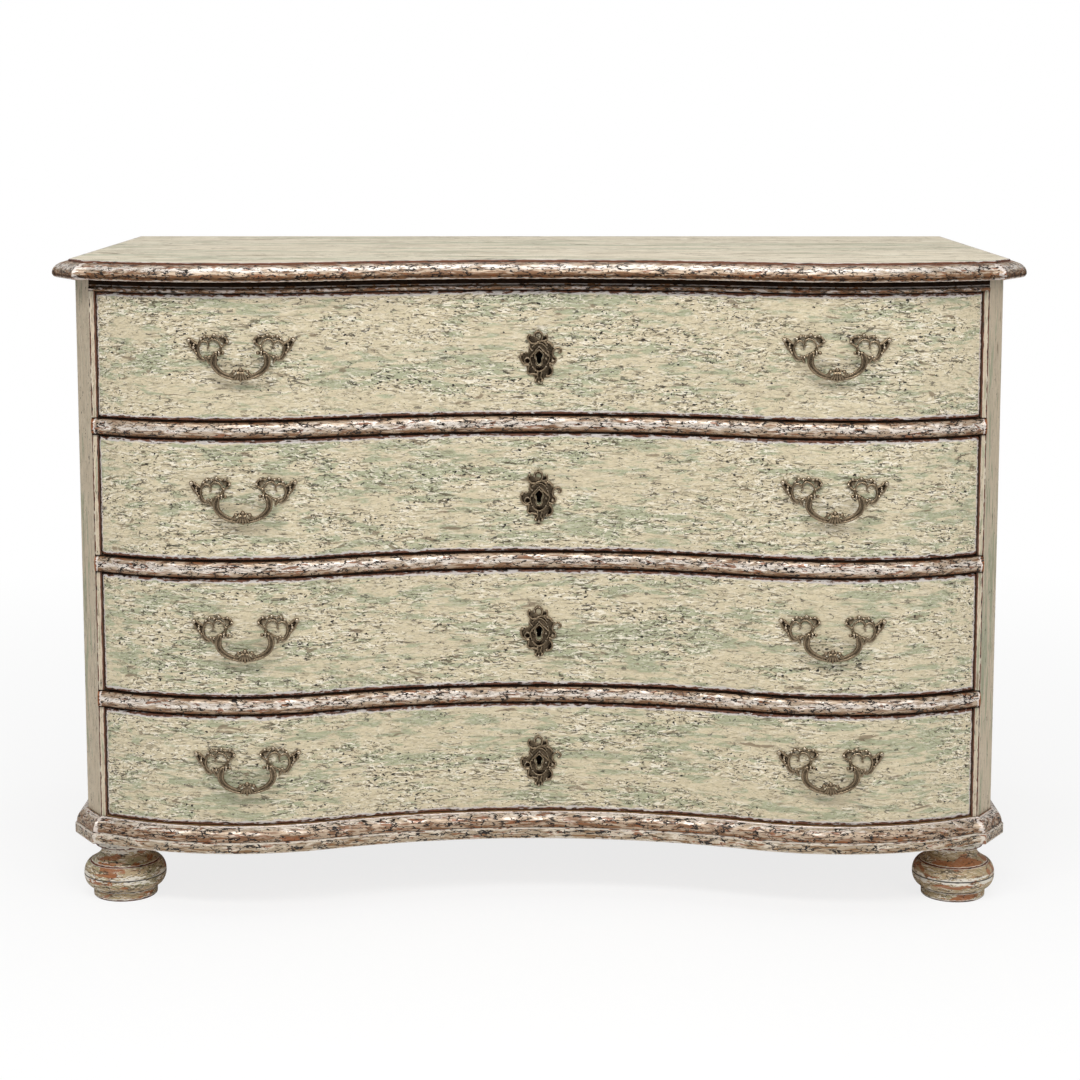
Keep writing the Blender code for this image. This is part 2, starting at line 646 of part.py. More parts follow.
def drawer_box(number, height, parent, finish):
    """The two sides and the back of a drawer, with one groove round their inner faces."""
    low = -DRAWER_GAP + SEAT_GAP
    high = height - BOX_LOWER_THAN_FRONT
    groove_low = GROOVE_HIGH - DRAWER_GAP
    groove_high = groove_low + PANEL_THICKNESS + 2 * SEAT_GAP
    section = [
        (0.0, low), (BOX_THICKNESS, low), (BOX_THICKNESS, groove_low), (GROOVE_DEPTH, groove_low),
        (GROOVE_DEPTH, groove_high), (BOX_THICKNESS, groove_high), (BOX_THICKNESS, high), (0.0, high),
    ]
    inner_face = front_line(-FRONT_THICKNESS - SEAT_GAP, HALF_DRAWER)
    rear = BACK_INNER + BOX_BACK_CLEAR
    builder = bmesh.new()
    rows = []
    for depth, z in section:
        x = BOX_HALF_WIDTH - depth
        front = forward_at(inner_face, x)
        rows.append([(-x, -front, z), (-x, -rear - depth, z), (x, -rear - depth, z), (x, -front, z)])
    grid = skin(builder, rows, closed=True)
    builder.faces.new([row[0] for row in grid])
    builder.faces.new([row[-1] for row in grid])
    name = f"drawer_{number}_box"
    return new_object(name, to_mesh(name, builder), finish, parent)


def drawer_panel(number, parent, finish):
    """The bottom of a drawer, held in the grooves of its front, sides and back."""
    reach = GROOVE_DEPTH - SEAT_GAP
    half = BOX_HALF_WIDTH - BOX_THICKNESS + reach
    rear = BACK_INNER + BOX_BACK_CLEAR + BOX_THICKNESS - reach
    outline = front_line(-FRONT_THICKNESS + reach - 2 * SEAT_GAP, half)
    outline += [(half, rear), (-half, rear)]
    low = GROOVE_HIGH - DRAWER_GAP + SEAT_GAP
    name = f"drawer_{number}_bottom"
    return new_object(name, plan_board(name, outline, low, low + PANEL_THICKNESS), finish, parent)


def drawer_lock(number, height, parent, finish):
    """A box lock on the inside of the front, with its bolt drawn back into the case."""
    middle = height / 2 - KEYHOLE_BELOW_MIDDLE
    near = forward_at(front_line(-FRONT_THICKNESS, HALF_DRAWER), 0.0) - SEAT_GAP
    low, high = middle - LOCK_HEIGHT / 2, middle + LOCK_HEIGHT / 2
    half, bolt = LOCK_WIDTH / 2, BOLT_WIDTH / 2
    outline = [
        (-half, 0, low), (half, 0, low), (half, 0, high), (bolt, 0, high),
        (bolt, 0, high + BOLT_HEIGHT), (-bolt, 0, high + BOLT_HEIGHT), (-bolt, 0, high),
        (-half, 0, high),
    ]
    name = f"drawer_{number}_lock"
    mesh = prism(name, outline, (0, -near, 0), (0, -near + LOCK_THICKNESS, 0))
    made = new_object(name, mesh, finish, parent)
    cutter = keyhole_cutter(f"{name}_keyhole", parent, middle, near + LOCK_CAVITY, near - LOCK_CAVITY)
    combine(made, cutter, "DIFFERENCE")
    return made


def escutcheon(number, height, parent, finish):
    """The keyhole plate: a flat scrolled outline, cut through for the key."""
    middle = height / 2 - KEYHOLE_BELOW_MIDDLE
    rear = forward_at(front_line(0.0, HALF_DRAWER), 0.0) + SEAT_GAP
    points = [(x, 0, middle + z) for x, z in ESCUTCHEON]
    name = f"drawer_{number}_escutcheon"
    mesh = prism(name, points, (0, -rear, 0), (0, -rear - PLATE_THICKNESS, 0))
    made = new_object(name, mesh, finish, parent)
    reach = 3 * PLATE_THICKNESS
    cutter = keyhole_cutter(f"{name}_keyhole", parent, middle, rear + reach, rear - reach)
    combine(made, cutter, "DIFFERENCE")
    return made


def evaluated_mesh(made, name):
    """The mesh of an object with its modifiers applied; the object itself is removed."""
    bpy.context.view_layer.update()
    graph = bpy.context.evaluated_depsgraph_get()
    mesh = bpy.data.meshes.new_from_object(made.evaluated_get(graph))
    mesh.name = name
    bpy.data.objects.remove(made)
    return mesh


def plate_lug():
    """The shank and eye of a plate, as (outward, z) points."""
    start = math.degrees(math.asin(SHANK_HEIGHT / 2 / EYE_RADIUS))
    ring = arc((EYE_OUT, 0.0), (EYE_RADIUS,) * 2, 180 - start, start - 180, EYE_STEPS)
    return [(0.0, SHANK_HEIGHT / 2)] + ring + [(0.0, -SHANK_HEIGHT / 2)]


def handle_plate_mesh(finish):
    """The right plate of a handle: a pierced scroll and an eye for the bail."""
    lean = (HANDLE_X + HANDLE_PLATE_MIDDLE_X - BULGE_X) / BULGE_RADIUS
    tilt = math.tan(math.asin(lean)) - math.tan(math.asin((HANDLE_X - BULGE_X) / BULGE_RADIUS))
    drop = HANDLE_PLATE_MIDDLE_X ** 2 / (2 * BULGE_RADIUS)

    def face(outline, out):
        """Corners of an outline on a plane that touches the drawer at the plate's middle."""
        return [(x, drop + tilt * (x - HANDLE_PLATE_MIDDLE_X) - out, z) for x, z in outline]

    step = (0, -PLATE_THICKNESS, 0)
    plate = new_object("plate", prism("plate", face(HANDLE_PLATE, SEAT_GAP), (0, 0, 0), step), finish)
    reach = 2 * PLATE_THICKNESS
    hole_mesh = prism("hole", face(HANDLE_PLATE_HOLE, -reach), (0, 0, 0), (0, -3 * reach, 0))
    hole = new_object("hole", hole_mesh, None)
    lug_points = [(0, -out, z) for out, z in plate_lug()]
    lug_start = EYE_X - EYE_THICKNESS / 2
    lug_mesh = prism("lug", lug_points, (lug_start, 0, 0), (lug_start + EYE_THICKNESS, 0, 0))
    lug = new_object("lug", lug_mesh, None)
    last_angle = 360 * (EYE_STEPS - 1) / EYE_STEPS
    bore_circle = arc((-EYE_OUT, 0.0), (PIN_RADIUS + BORE_GAP,) * 2, 0, last_angle, EYE_STEPS - 1)
    bore_points = [(0, y, z) for y, z in bore_circle]
    bore_mesh = prism("bore", bore_points, (lug_start - reach, 0, 0), (lug_start + 3 * reach, 0, 0))
    bore = new_object("bore", bore_mesh, None)
    combine(plate, hole, "DIFFERENCE")
    combine(plate, lug, "UNION")
    combine(plate, bore, "DIFFERENCE")
    mesh = evaluated_mesh(plate, "handle_plate_right")
    for helper in (hole, lug, bore):
        bpy.data.objects.remove(helper)
    return mesh


def mirrored(mesh, name):
    """The same mesh for the other hand."""
    other = mesh.copy()
    other.name = name
    other.transform(Matrix.Scale(-1, 4, Vector((1, 0, 0))))
    other.flip_normals()
    return other


def bail_path():
    """Centre line of a bail from one pin to the other, as (x, z, radius), hinge at z = 0."""
    inner = EYE_X - EYE_THICKNESS / 2 - PIN_TAIL
    outer = EYE_X + EYE_THICKNESS / 2 + SEAT_GAP
    right = [(inner, 0.0, PIN_RADIUS), (outer, 0.0, PIN_RADIUS)]
    right.append(((outer + BAIL_HALF_WIDTH) / 2, -ROD_RADIUS / 2, ROD_RADIUS))
    radii = (BAIL_HALF_WIDTH, BAIL_DROP - ROD_RADIUS - BAIL_WIDEST_DROP)
    loop = arc((0.0, -BAIL_WIDEST_DROP), radii, 0, -90, BAIL_STEPS)
    right += [(x, z, ROD_RADIUS) for x, z in loop]
    left = [(-x, z, radius) for x, z, radius in right[:-1]]
    return left + right[::-1]


def bail_mesh(finish):
    """A drop bail: a bent rod with thinner pins, and a fan-shaped shell at its lowest point."""
    curve = bpy.data.curves.new("bail", "CURVE")
    curve.dimensions = "3D"
    curve.bevel_depth = 1.0
    curve.bevel_resolution = 1
    curve.use_fill_caps = True
    spline = curve.splines.new("POLY")
    path = bail_path()
    spline.points.add(len(path) - 1)
    for point, (x, z, radius) in zip(spline.points, path):
        point.co = (x, 0, z, 1)
        point.radius = radius
    rod_object = bpy.data.objects.new("rod", curve)
    bpy.context.scene.collection.objects.link(rod_object)
    rod = new_object("bail", evaluated_mesh(rod_object, "bail"), finish)
    low = -BAIL_DROP - ROD_RADIUS / 2
    half = SHELL_WIDTH / 2
    fan = arc((0.0, low + SHELL_HEIGHT - half), (half, half), 180, 0, SHELL_STEPS)
    outline = [(SHELL_FOOT_WIDTH / 2, low), (-SHELL_FOOT_WIDTH / 2, low)] + fan
    points = [(x, 0, z) for x, z in outline]
    depth = SHELL_THICKNESS / 2
    shell = new_object("shell", prism("shell", points, (0, -depth, 0), (0, depth, 0)), None)
    combine(rod, shell, "UNION")
    mesh = evaluated_mesh(rod, "bail")
    bpy.data.objects.remove(shell)
    shade_round(mesh, BAIL_SHARP_DEGREES)
    return mesh


def handle(prefix, side, height, parent, meshes, finish):
    """Two plates and a bail, turned to follow the bulge of the drawer front."""
    right_plate, left_plate, bail = meshes
    turn = side * math.asin((HANDLE_X - BULGE_X) / BULGE_RADIUS)
    place = (side * HANDLE_X, -bulge_forward(HANDLE_X), height)
    new_object(f"{prefix}_left_plate", left_plate, finish, parent, place, turn)
    new_object(f"{prefix}_right_plate", right_plate, finish, parent, place, turn)
    outward = Vector((math.sin(turn), -math.cos(turn), 0)) * EYE_OUT
    new_object(f"{prefix}_bail", bail, finish, parent, Vector(place) + outward, turn)


def drawer(number, finishes, handle_meshes):
    """One drawer, on an empty that slides along the chest's depth."""
    height = DRAWER_HEIGHTS[number - 1]
    slide = bpy.data.objects.new(f"drawer_{number}_slide", None)
    bpy.context.scene.collection.objects.link(slide)
    slide.location = (0, END_PLANE_Y, drawer_bottom(number))
    drawer_front(number, height, slide, finishes["drawer_paint"])
    drawer_box(number, height, slide, finishes["pine"])
    drawer_panel(number, slide, finishes["pine"])
    drawer_lock(number, height, slide, finishes["iron"])
    escutcheon(number, height, slide, finishes["bronze"])
    eye_height = height / 2 + EYE_ABOVE_MIDDLE
    for word, side in (("left", -1), ("right", 1)):
        prefix = f"drawer_{number}_{word}_handle"
        handle(prefix, side, eye_height, slide, handle_meshes, finishes["bronze"])


def build():
    """Clear the scene and build the chest."""
    for old in list(bpy.data.objects):
        bpy.data.objects.remove(old)
    finishes = {
        "drawer_paint": material("drawer_paint", (0.62, 0.56, 0.40), 0.55, 0.0),
        "worn_white": material("worn_white", (0.70, 0.64, 0.58), 0.40, 0.0),
        "cant_paint": material("cant_paint", (0.48, 0.43, 0.34), 0.60, 0.0),
        "foot_paint": material("foot_paint", (0.55, 0.52, 0.36), 0.50, 0.0),
        "bronze": material("bronze", (0.20, 0.13, 0.08), 0.40, 0.9),
        "iron": material("iron", (0.10, 0.09, 0.08), 0.55, 0.9),
        "pine": material("pine", (0.50, 0.33, 0.17), 0.70, 0.0),
    }
    top_board(finishes["drawer_paint"])
    frieze_rail(finishes["worn_white"])
    base_moulding(finishes["worn_white"])
    bottom_board(finishes["pine"])
    back_panel(finishes["pine"])
    for side in (-1, 1):
        corner_post(side, finishes["cant_paint"])
        side_panel(side, finishes["cant_paint"])
    for number in (1, 2, 3):
        divider(number, finishes["worn_white"])
    feet(finishes["foot_paint"])
    right_plate = handle_plate_mesh(finishes["bronze"])
    meshes = (right_plate, mirrored(right_plate, "handle_plate_left"), bail_mesh(finishes["bronze"]))
    for number in (1, 2, 3, 4):
        drawer(number, finishes, meshes)


build()
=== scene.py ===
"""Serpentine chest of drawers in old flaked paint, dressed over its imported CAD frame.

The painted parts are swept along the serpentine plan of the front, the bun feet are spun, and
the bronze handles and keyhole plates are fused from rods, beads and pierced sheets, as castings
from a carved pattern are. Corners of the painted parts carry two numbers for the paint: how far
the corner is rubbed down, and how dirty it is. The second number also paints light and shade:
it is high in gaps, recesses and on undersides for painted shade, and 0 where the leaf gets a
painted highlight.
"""
import logging
import math
from dataclasses import dataclass, field
from enum import Enum
from typing import Any, Iterable, Sequence
import bmesh
import bpy
from mathutils import Matrix, Vector


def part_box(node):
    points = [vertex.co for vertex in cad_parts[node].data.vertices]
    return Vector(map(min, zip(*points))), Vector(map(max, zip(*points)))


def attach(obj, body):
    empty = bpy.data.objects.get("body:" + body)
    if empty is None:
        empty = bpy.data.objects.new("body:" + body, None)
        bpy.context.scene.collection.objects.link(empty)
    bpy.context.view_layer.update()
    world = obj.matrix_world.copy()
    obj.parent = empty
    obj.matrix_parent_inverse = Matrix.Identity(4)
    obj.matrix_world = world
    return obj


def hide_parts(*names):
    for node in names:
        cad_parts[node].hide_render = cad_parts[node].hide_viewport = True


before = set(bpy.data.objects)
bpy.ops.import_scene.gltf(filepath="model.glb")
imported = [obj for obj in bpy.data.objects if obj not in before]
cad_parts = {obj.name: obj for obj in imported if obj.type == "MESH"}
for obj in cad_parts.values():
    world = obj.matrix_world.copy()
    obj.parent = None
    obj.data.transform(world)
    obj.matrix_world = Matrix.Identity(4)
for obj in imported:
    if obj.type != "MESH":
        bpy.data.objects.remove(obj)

log = logging.getLogger("chest")

MM = 0.001

# A corner of a moulding's section: distance outward, height, how rubbed, and how dirty with painted shade.
Corner = tuple[float, float, float, float]

# Types of node. A Map Range node's inputs by number are its value, from least, from most, to least
# and to most, and a Mix node's are its share (0) and its two colours (6 and 7).
COORD = "ShaderNodeTexCoord"
MAPPING = "ShaderNodeMapping"
NOISE = "ShaderNodeTexNoise"
VORONOI = "ShaderNodeTexVoronoi"
RANGE = "ShaderNodeMapRange"
MATH = "ShaderNodeMath"
VECTOR = "ShaderNodeVectorMath"
MIX = "ShaderNodeMix"
SPLIT = "ShaderNodeSeparateColor"
ATTRIBUTE = "ShaderNodeAttribute"
BUMP = "ShaderNodeBump"
SMOOTH = "SMOOTHSTEP"


def linear(code: str) -> tuple[float, float, float, float]:
    """Turn an sRGB hex colour into linear values.

    Args:
        code: The colour, such as "#d4cbac".

    Returns:
        Linear red, green, blue and an alpha of 1.
    """
    parts = [int(code[place:place + 2], 16) / 255 for place in (1, 3, 5)]
    red, green, blue = (
        part / 12.92 if part <= 0.04045 else ((part + 0.055) / 1.055) ** 2.4 for part in parts
    )
    return red, green, blue, 1.0


class NodeBook:
    """A new material or world, and the one way in which its nodes are added."""

    def __init__(self, owner: bpy.types.Material | bpy.types.World) -> None:
        """Start on the owner's node tree.

        Args:
            owner: The material or world.
        """
        owner.use_nodes = True
        self.owner = owner
        self.tree = owner.node_tree

    def add(
        self, kind: str, inputs: dict[Any, Any] | None = None, out: int | str = 0, **settings: Any
    ) -> bpy.types.NodeSocket | None:
        """Add a node with its settings and links.

        Args:
            kind: The node's type name.
            inputs: Values or sockets for the node's inputs, by name or number.
            out: The output that is handed back.
            settings: Properties of the node itself.

        Returns:
            The output socket, or None for a node without outputs.
        """
        node = self.tree.nodes.new(kind)
        for key, value in settings.items():
            setattr(node, key, value)
        for key, value in (inputs or {}).items():
            if isinstance(value, bpy.types.NodeSocket):
                self.tree.links.new(value, node.inputs[key])
            else:
                node.inputs[key].default_value = value
        return node.outputs[out] if len(node.outputs) else None

    def over(self, colour: Any, coats: Iterable[tuple[Any, str]]) -> bpy.types.NodeSocket:
        """Lay coats over a colour, each through its own mask.

        Args:
            colour: The lowest colour, linear or from a node.
            coats: Mask and sRGB colour of each coat, from the lowest to the highest.

        Returns:
            The colour on top.
        """
        for mask, code in coats:
            colour = self.add(MIX, {0: mask, 6: colour, 7: linear(code)}, 2, data_type="RGBA")
        return colour

    def shade(self, **inputs: Any) -> bpy.types.Material:
        """Set or link the inputs of the material's shader.

        Args:
            inputs: Values or sockets, by the input's name with underscores for its spaces.

        Returns:
            The material.
        """
        shader = self.tree.nodes["Principled BSDF"]
        for key, value in inputs.items():
            socket = shader.inputs[key.replace("_", " ")]
            if isinstance(value, bpy.types.NodeSocket):
                self.tree.links.new(value, socket)
            else:
                socket.default_value = value
        return self.owner


class Grain(Enum):
    """Way the brush, and with it the paint's flakes and streaks, runs on a part.

    Each has its share of the scale along x, y and z, and the width of a flake's edge along them in
    millimetres. The top is seen nearly along its surface, so its pattern is coarser in depth.
    """

    ALONG_X = (0.32, 0.62, 1.0, 0.2, 1.1, 1.1)
    LENGTHWISE = (0.13, 0.50, 1.0, 0.2, 3.0, 1.4)
    ALONG_Y = (1.0, 0.30, 1.0, 0.9, 0.0, 0.9)
    UPRIGHT = (1.0, 1.0, 0.26, 1.3, 0.8, 0.2)
    ROUND = (0.36, 0.36, 1.0, 0.2, 0.2, 1.3)


class AgedCoat(NodeBook):
    """Nodes of an old coat on the chest: a brushed grain, dark pits, splits, rubbed edges, and dirt with
    painted shade.

    Levels here and in the finishes are values of noise, which lies mostly between 0.3 and 0.7: a
    coat or stain shows where its noise passes the level.
    """

    def __init__(self, name: str, grain: Grain) -> None:
        """Start a new material.

        Args:
            name: Its name.
            grain: Way its brush strokes run.
        """
        super().__init__(bpy.data.materials.new(name))
        self.grain = grain

    def brushed(
        self, size_mm: float, detail: float, seed: float, distortion: float = 0.0,
        draw: float = 1.0, shift: float = 0.0,
    ) -> bpy.types.NodeSocket:
        """Noise drawn out along the grain.

        Args:
            size_mm: Size of the pattern across the grain.
            detail: Finer octaves.
            seed: Keeps layers apart.
            distortion: How much the pattern winds.
            draw: How strongly it is drawn out, 1 as the grain says.
            shift: Edges across the grain at which it is read.

        Returns:
            The noise, from 0 to 1.
        """
        stretch, step = self.grain.value[:3], self.grain.value[3:]
        place = self.add(COORD, out="Object")
        if shift:
            place = self.add(
                VECTOR, {0: place, 1: [part * shift * MM for part in step]}, operation="ADD"
            )
        scale = [part ** draw / (size_mm * MM) for part in stretch]
        spot = (seed * 3.1, seed * 1.7, seed * 2.3)
        place = self.add(MAPPING, {"Vector": place, "Scale": scale, "Location": spot})
        return self.add(
            NOISE, {"Vector": place, "Scale": 1.0, "Detail": detail, "Distortion": distortion}, "Fac"
        )

    def cells(self, size_mm: float, seed: float, draw: float, feature: str) -> bpy.types.NodeSocket:
        """Net of wavy cells drawn out along the grain.

        Args:
            size_mm: Size of a cell across the grain.
            seed: Keeps layers apart.
            draw: How strongly the cells are drawn out.
            feature: What is measured, the way to a cell's middle or to its edge.

        Returns:
            The distance, in cells.
        """
        scale = [part ** draw / (size_mm * MM) for part in self.grain.value[:3]]
        place = self.add(COORD, out="Object")
        place = self.add(MAPPING, {"Vector": place, "Scale": scale, "Location": (seed, -seed, seed)})
        wave = self.add(NOISE, {"Vector": place, "Scale": 1.8, "Detail": 3.0}, "Color")
        bent = self.add(VECTOR, {0: wave, 1: (0.9, 0.9, 0.9), 2: place}, operation="MULTIPLY_ADD")
        return self.add(VORONOI, {"Vector": bent, "Scale": 1.0}, "Distance", feature=feature)

    def pits(self, size_mm: float, radius: Any, share: float, seed: float) -> bpy.types.NodeSocket:
        """Small dark pits, one in some of the cells of a wavy net.

        Args:
            size_mm: Distance between cells.
            radius: Radius of a pit in cells, as a number or a socket.
            share: Share of the cells that has one.
            seed: Keeps layers apart.

        Returns:
            1 in a pit, else 0.
        """
        way = self.cells(size_mm, seed, 0.45, "F1")
        chance = self.add(SPLIT, {0: way.node.outputs["Color"]})
        drawn = self.add(MATH, {0: chance, 1: share}, operation="LESS_THAN")
        inside = self.add(MATH, {0: way, 1: radius}, operation="LESS_THAN")
        return self.add(MATH, {0: drawn, 1: inside}, operation="MULTIPLY")

    def splits(self, size_mm: float, width: float, seed: float, whole: float) -> bpy.types.NodeSocket:
        """Dry splits between plates of the coat, which break off and start again.

        Args:
            size_mm: Size of a plate across the grain.
            width: Width of a split as a share of a plate.
            seed: Keeps layers apart.
            whole: Level of noise under which a split has stayed closed.

        Returns:
            1 in a split, else 0.
        """
        way = self.cells(size_mm, seed, 1.0, "DISTANCE_TO_EDGE")
        gate = self.brushed(size_mm * 1.3, 2.0, seed + 5.0)
        gate = self.add(RANGE, {0: gate, 1: whole - 0.04, 2: whole + 0.12}, interpolation_type=SMOOTH)
        reach = self.add(MATH, {0: gate, 1: width}, operation="MULTIPLY")
        return self.add(MATH, {0: way, 1: reach}, operation="LESS_THAN")

    def rubbed(
        self, colour: Any, height: Any, ground: str, chip: str, dark: str
    ) -> tuple[bpy.types.NodeSocket, bpy.types.NodeSocket]:
        """Darken corners with dirt and painted shade where their dirt value is high, chip the coat along its
        edges and rub them down to the ground.

        Args:
            colour: Colour of the coat.
            height: Its relief.
            ground: Colour of the ground.
            chip: Colour of the chipped lower coat.
            dark: Colour of the black flecks on the bare ground, and of the dirt and painted shade.

        Returns:
            The new colour and relief.
        """
        worn = self.add(ATTRIBUTE, out="Fac", attribute_name="wear")
        dirt_and_shade_value = self.add(ATTRIBUTE, out="Fac", attribute_name="dirt_and_shade")
        coarse = self.brushed(8.0, 3.0, 41.0, 0.4)
        fine = self.brushed(2.4, 2.0, 43.0)
        ragged = self.add(MATH, {0: coarse, 1: fine}, operation="ADD")
        level = self.add(MATH, {0: ragged, 1: 0.7, 2: worn}, operation="MULTIPLY_ADD")
        # Painted shade with dirt: corners with a high dirt value, in gaps, recesses and on undersides, turn
        # dark.
        dust_and_shade = self.add(MATH, {0: ragged, 1: 0.5, 2: dirt_and_shade_value}, operation="MULTIPLY_ADD")
        dirt_and_painted_shade = self.add(RANGE, {0: dust_and_shade, 1: 1.05, 2: 1.65, 4: 0.94}, interpolation_type=SMOOTH)
        chipped = self.add(RANGE, {0: level, 1: 1.08, 2: 1.14, 4: 0.8}, interpolation_type=SMOOTH)
        bare = self.add(RANGE, {0: level, 1: 1.34, 2: 1.42}, interpolation_type=SMOOTH)
        black = self.add(RANGE, {0: fine, 1: 0.55, 2: 0.66}, interpolation_type=SMOOTH)
        black = self.add(MATH, {0: black, 1: bare}, operation="MULTIPLY")
        colour = self.over(colour, ((chipped, chip), (bare, ground), (black, dark), (dirt_and_painted_shade, dark)))
        height = self.add(MATH, {0: bare, 1: -1.2, 2: height}, operation="MULTIPLY_ADD")
        return colour, height


@dataclass(frozen=True)
class FlakedPaint:
    """Hand-brushed casein paint over a red-brown ground on pine.

    Old paint of this kind is chalky and patchy: a cream coat with sage showing through it. It
    lifts in small drawn-out flakes, with a painted highlight on their upper edges and painted shade
    on their lower edges, it is pitted with dark specks, and it is rubbed through to the ground on
    edges.
    """

    name: str
    grain: Grain
    # The pale colour also paints a highlight on the flakes' upper edges, and the dirt colour paints shade on
    # their lower edges.
    cream: str = "#d0c3a4"
    pale_and_highlight: str = "#f0e8d6"
    sage: str = "#a1a687"
    dirt_and_shade: str = "#514733"
    dark: str = "#241c14"
    ground: str = "#6b402a"
    chip: str = "#ccc4c2"
    scuff: str = "#7b6a52"
    sage_level: float = 0.79
    patch_mm: float = 7.5
    flake_mm: float = 3.6
    line: float = 0.85
    calm: float = 0.30
    streak: float = 0.45
    pit_mm: float = 6.5
    pit_radius: float = 0.21
    pit_share: float = 0.5
    split_level: float = 0.60
    scuff_level: float = 0.65
    roughness: float = 0.55

    def flakes(
        self, coat: AgedCoat, colour: Any, height: Any, busy: Any, size_mm: float, levels: int,
        seed: float,
    ) -> tuple[bpy.types.NodeSocket, bpy.types.NodeSocket]:
        """Break the coat into flakes, terraces of a winding field, with a painted highlight on their upper
        edges and painted shade on their lower edges.

        Args:
            coat: The material's nodes.
            colour: Colour of the coat.
            height: Its relief.
            busy: Where the coat has lifted.
            size_mm: Size of a flake across the grain.
            levels: Number of terraces.
            seed: Keeps layers apart.

        Returns:
            The new colour and relief.
        """
        add = coat.add
        terraces = [
            add(MATH, {0: coat.brushed(size_mm, 2.5, seed, 0.7, 1.0, shift), 1: 1.0 / levels},
                operation="SNAP")
            for shift in (0.0, 1.0)
        ]
        edge = add(MATH, {0: terraces[1], 1: terraces[0]}, operation="SUBTRACT")
        broken = coat.brushed(size_mm * 0.8, 2.0, seed + 20.0)
        broken = add(RANGE, {0: broken, 1: 0.44, 2: 0.56, 4: self.line}, interpolation_type=SMOOTH)
        broken = add(MATH, {0: broken, 1: busy}, operation="MULTIPLY")
        # Painted highlight on each flake's upper edge and painted shade on its lower edge, as if lit from
        # above.
        upper = add(MATH, {0: edge, 1: 0.01}, operation="GREATER_THAN")
        lower = add(MATH, {0: edge, 1: -0.01}, operation="LESS_THAN")
        light = add(MATH, {0: upper, 1: broken}, operation="MULTIPLY")
        shade = add(MATH, {0: lower, 1: broken}, operation="MULTIPLY")
        colour = coat.over(colour, ((light, self.pale_and_highlight), (shade, self.dirt_and_shade)))
        return colour, add(MATH, {0: terraces[0], 1: 3.0, 2: height}, operation="MULTIPLY_ADD")

    def build(self) -> bpy.types.Material:
        """Make the paint's material.

        Returns:
            The material, with colour, roughness and relief from nodes.
        """
        coat = AgedCoat(self.name, self.grain)
        add = coat.add

        # The cream coat, worn thin in small drawn-out patches that show the sage coat under it.
        broad = coat.brushed(self.patch_mm * 6.0, 3.0, 1.0, 0.3, 1.7)
        patch = coat.brushed(self.patch_mm, 4.0, 2.0, 0.5, 1.6)
        fine = coat.brushed(self.flake_mm * 0.4, 3.0, 3.0, 0.0, 1.5)
        streak = coat.brushed(2.6, 2.0, 5.0, 0.0, 2.2)
        thin = add(MATH, {0: broad, 1: 0.55, 2: patch}, operation="MULTIPLY_ADD")
        sage = add(
            RANGE, {0: thin, 1: self.sage_level - 0.03, 2: self.sage_level + 0.09, 4: 0.85},
            interpolation_type=SMOOTH,
        )
        bright = coat.brushed(self.flake_mm * 0.9, 3.0, 7.7, 0.8)
        bright = add(RANGE, {0: bright, 1: 0.585, 2: 0.64, 4: 0.22}, interpolation_type=SMOOTH)
        drawn = add(RANGE, {0: streak, 1: 0.56, 2: 0.72, 4: self.streak}, interpolation_type=SMOOTH)
        grey = add(RANGE, {0: fine, 1: 0.58, 2: 0.80, 4: 0.30}, interpolation_type=SMOOTH)
        colour = coat.over(
            linear(self.cream),
            ((sage, self.sage), (bright, self.pale_and_highlight), (drawn, self.scuff), (grey, self.dirt_and_shade)),
        )
        height = add(MATH, {0: fine, 1: 0.6}, operation="MULTIPLY")
        crowd = coat.brushed(34.0, 3.0, 19.0)
        busy = add(RANGE, {0: crowd, 1: 0.38, 2: 0.56, 3: self.calm}, interpolation_type=SMOOTH)
        colour, height = self.flakes(coat, colour, height, busy, self.flake_mm * 2.4, 8, 11.0)
        colour, height = self.flakes(coat, colour, height, busy, self.flake_mm, 6, 13.0)

        # Brown scuffs, and dark pits and splits that come in clusters.
        scuffs = coat.brushed(self.flake_mm * 3.4, 5.0, 17.0, 0.6)
        scuffs = add(
            RANGE, {0: scuffs, 1: self.scuff_level, 2: self.scuff_level + 0.05, 4: 0.8},
            interpolation_type=SMOOTH,
        )
        radius = add(RANGE, {0: crowd, 1: 0.35, 2: 0.62, 3: 0.09, 4: self.pit_radius})
        pits = [
            coat.pits(self.pit_mm * size, radius, self.pit_share * share, seed)
            for size, share, seed in ((1.0, 0.8, 2.0), (0.6, 1.1, 6.0))
        ]
        split = coat.splits(self.pit_mm * 0.8, 0.085, 9.0, self.split_level)
        split = add(MATH, {0: split, 1: 0.7}, operation="MULTIPLY")
        colour = coat.over(
            colour,
            ((scuffs, self.scuff), (split, self.dark), (pits[0], self.dark), (pits[1], self.dark)),
        )
        height = add(MATH, {0: pits[0], 1: -1.2, 2: height}, operation="MULTIPLY_ADD")

        colour, height = coat.rubbed(colour, height, self.ground, self.chip, self.dark)
        smooth, rough = self.roughness - 0.08, self.roughness + 0.12
        gloss = add(RANGE, {0: patch, 1: 0.2, 2: 0.8, 3: smooth, 4: rough})
        relief = add(BUMP, {"Height": height, "Strength": 0.8, "Distance": 0.0011})
        return coat.shade(Base_Color=colour, Roughness=gloss, Normal=relief)


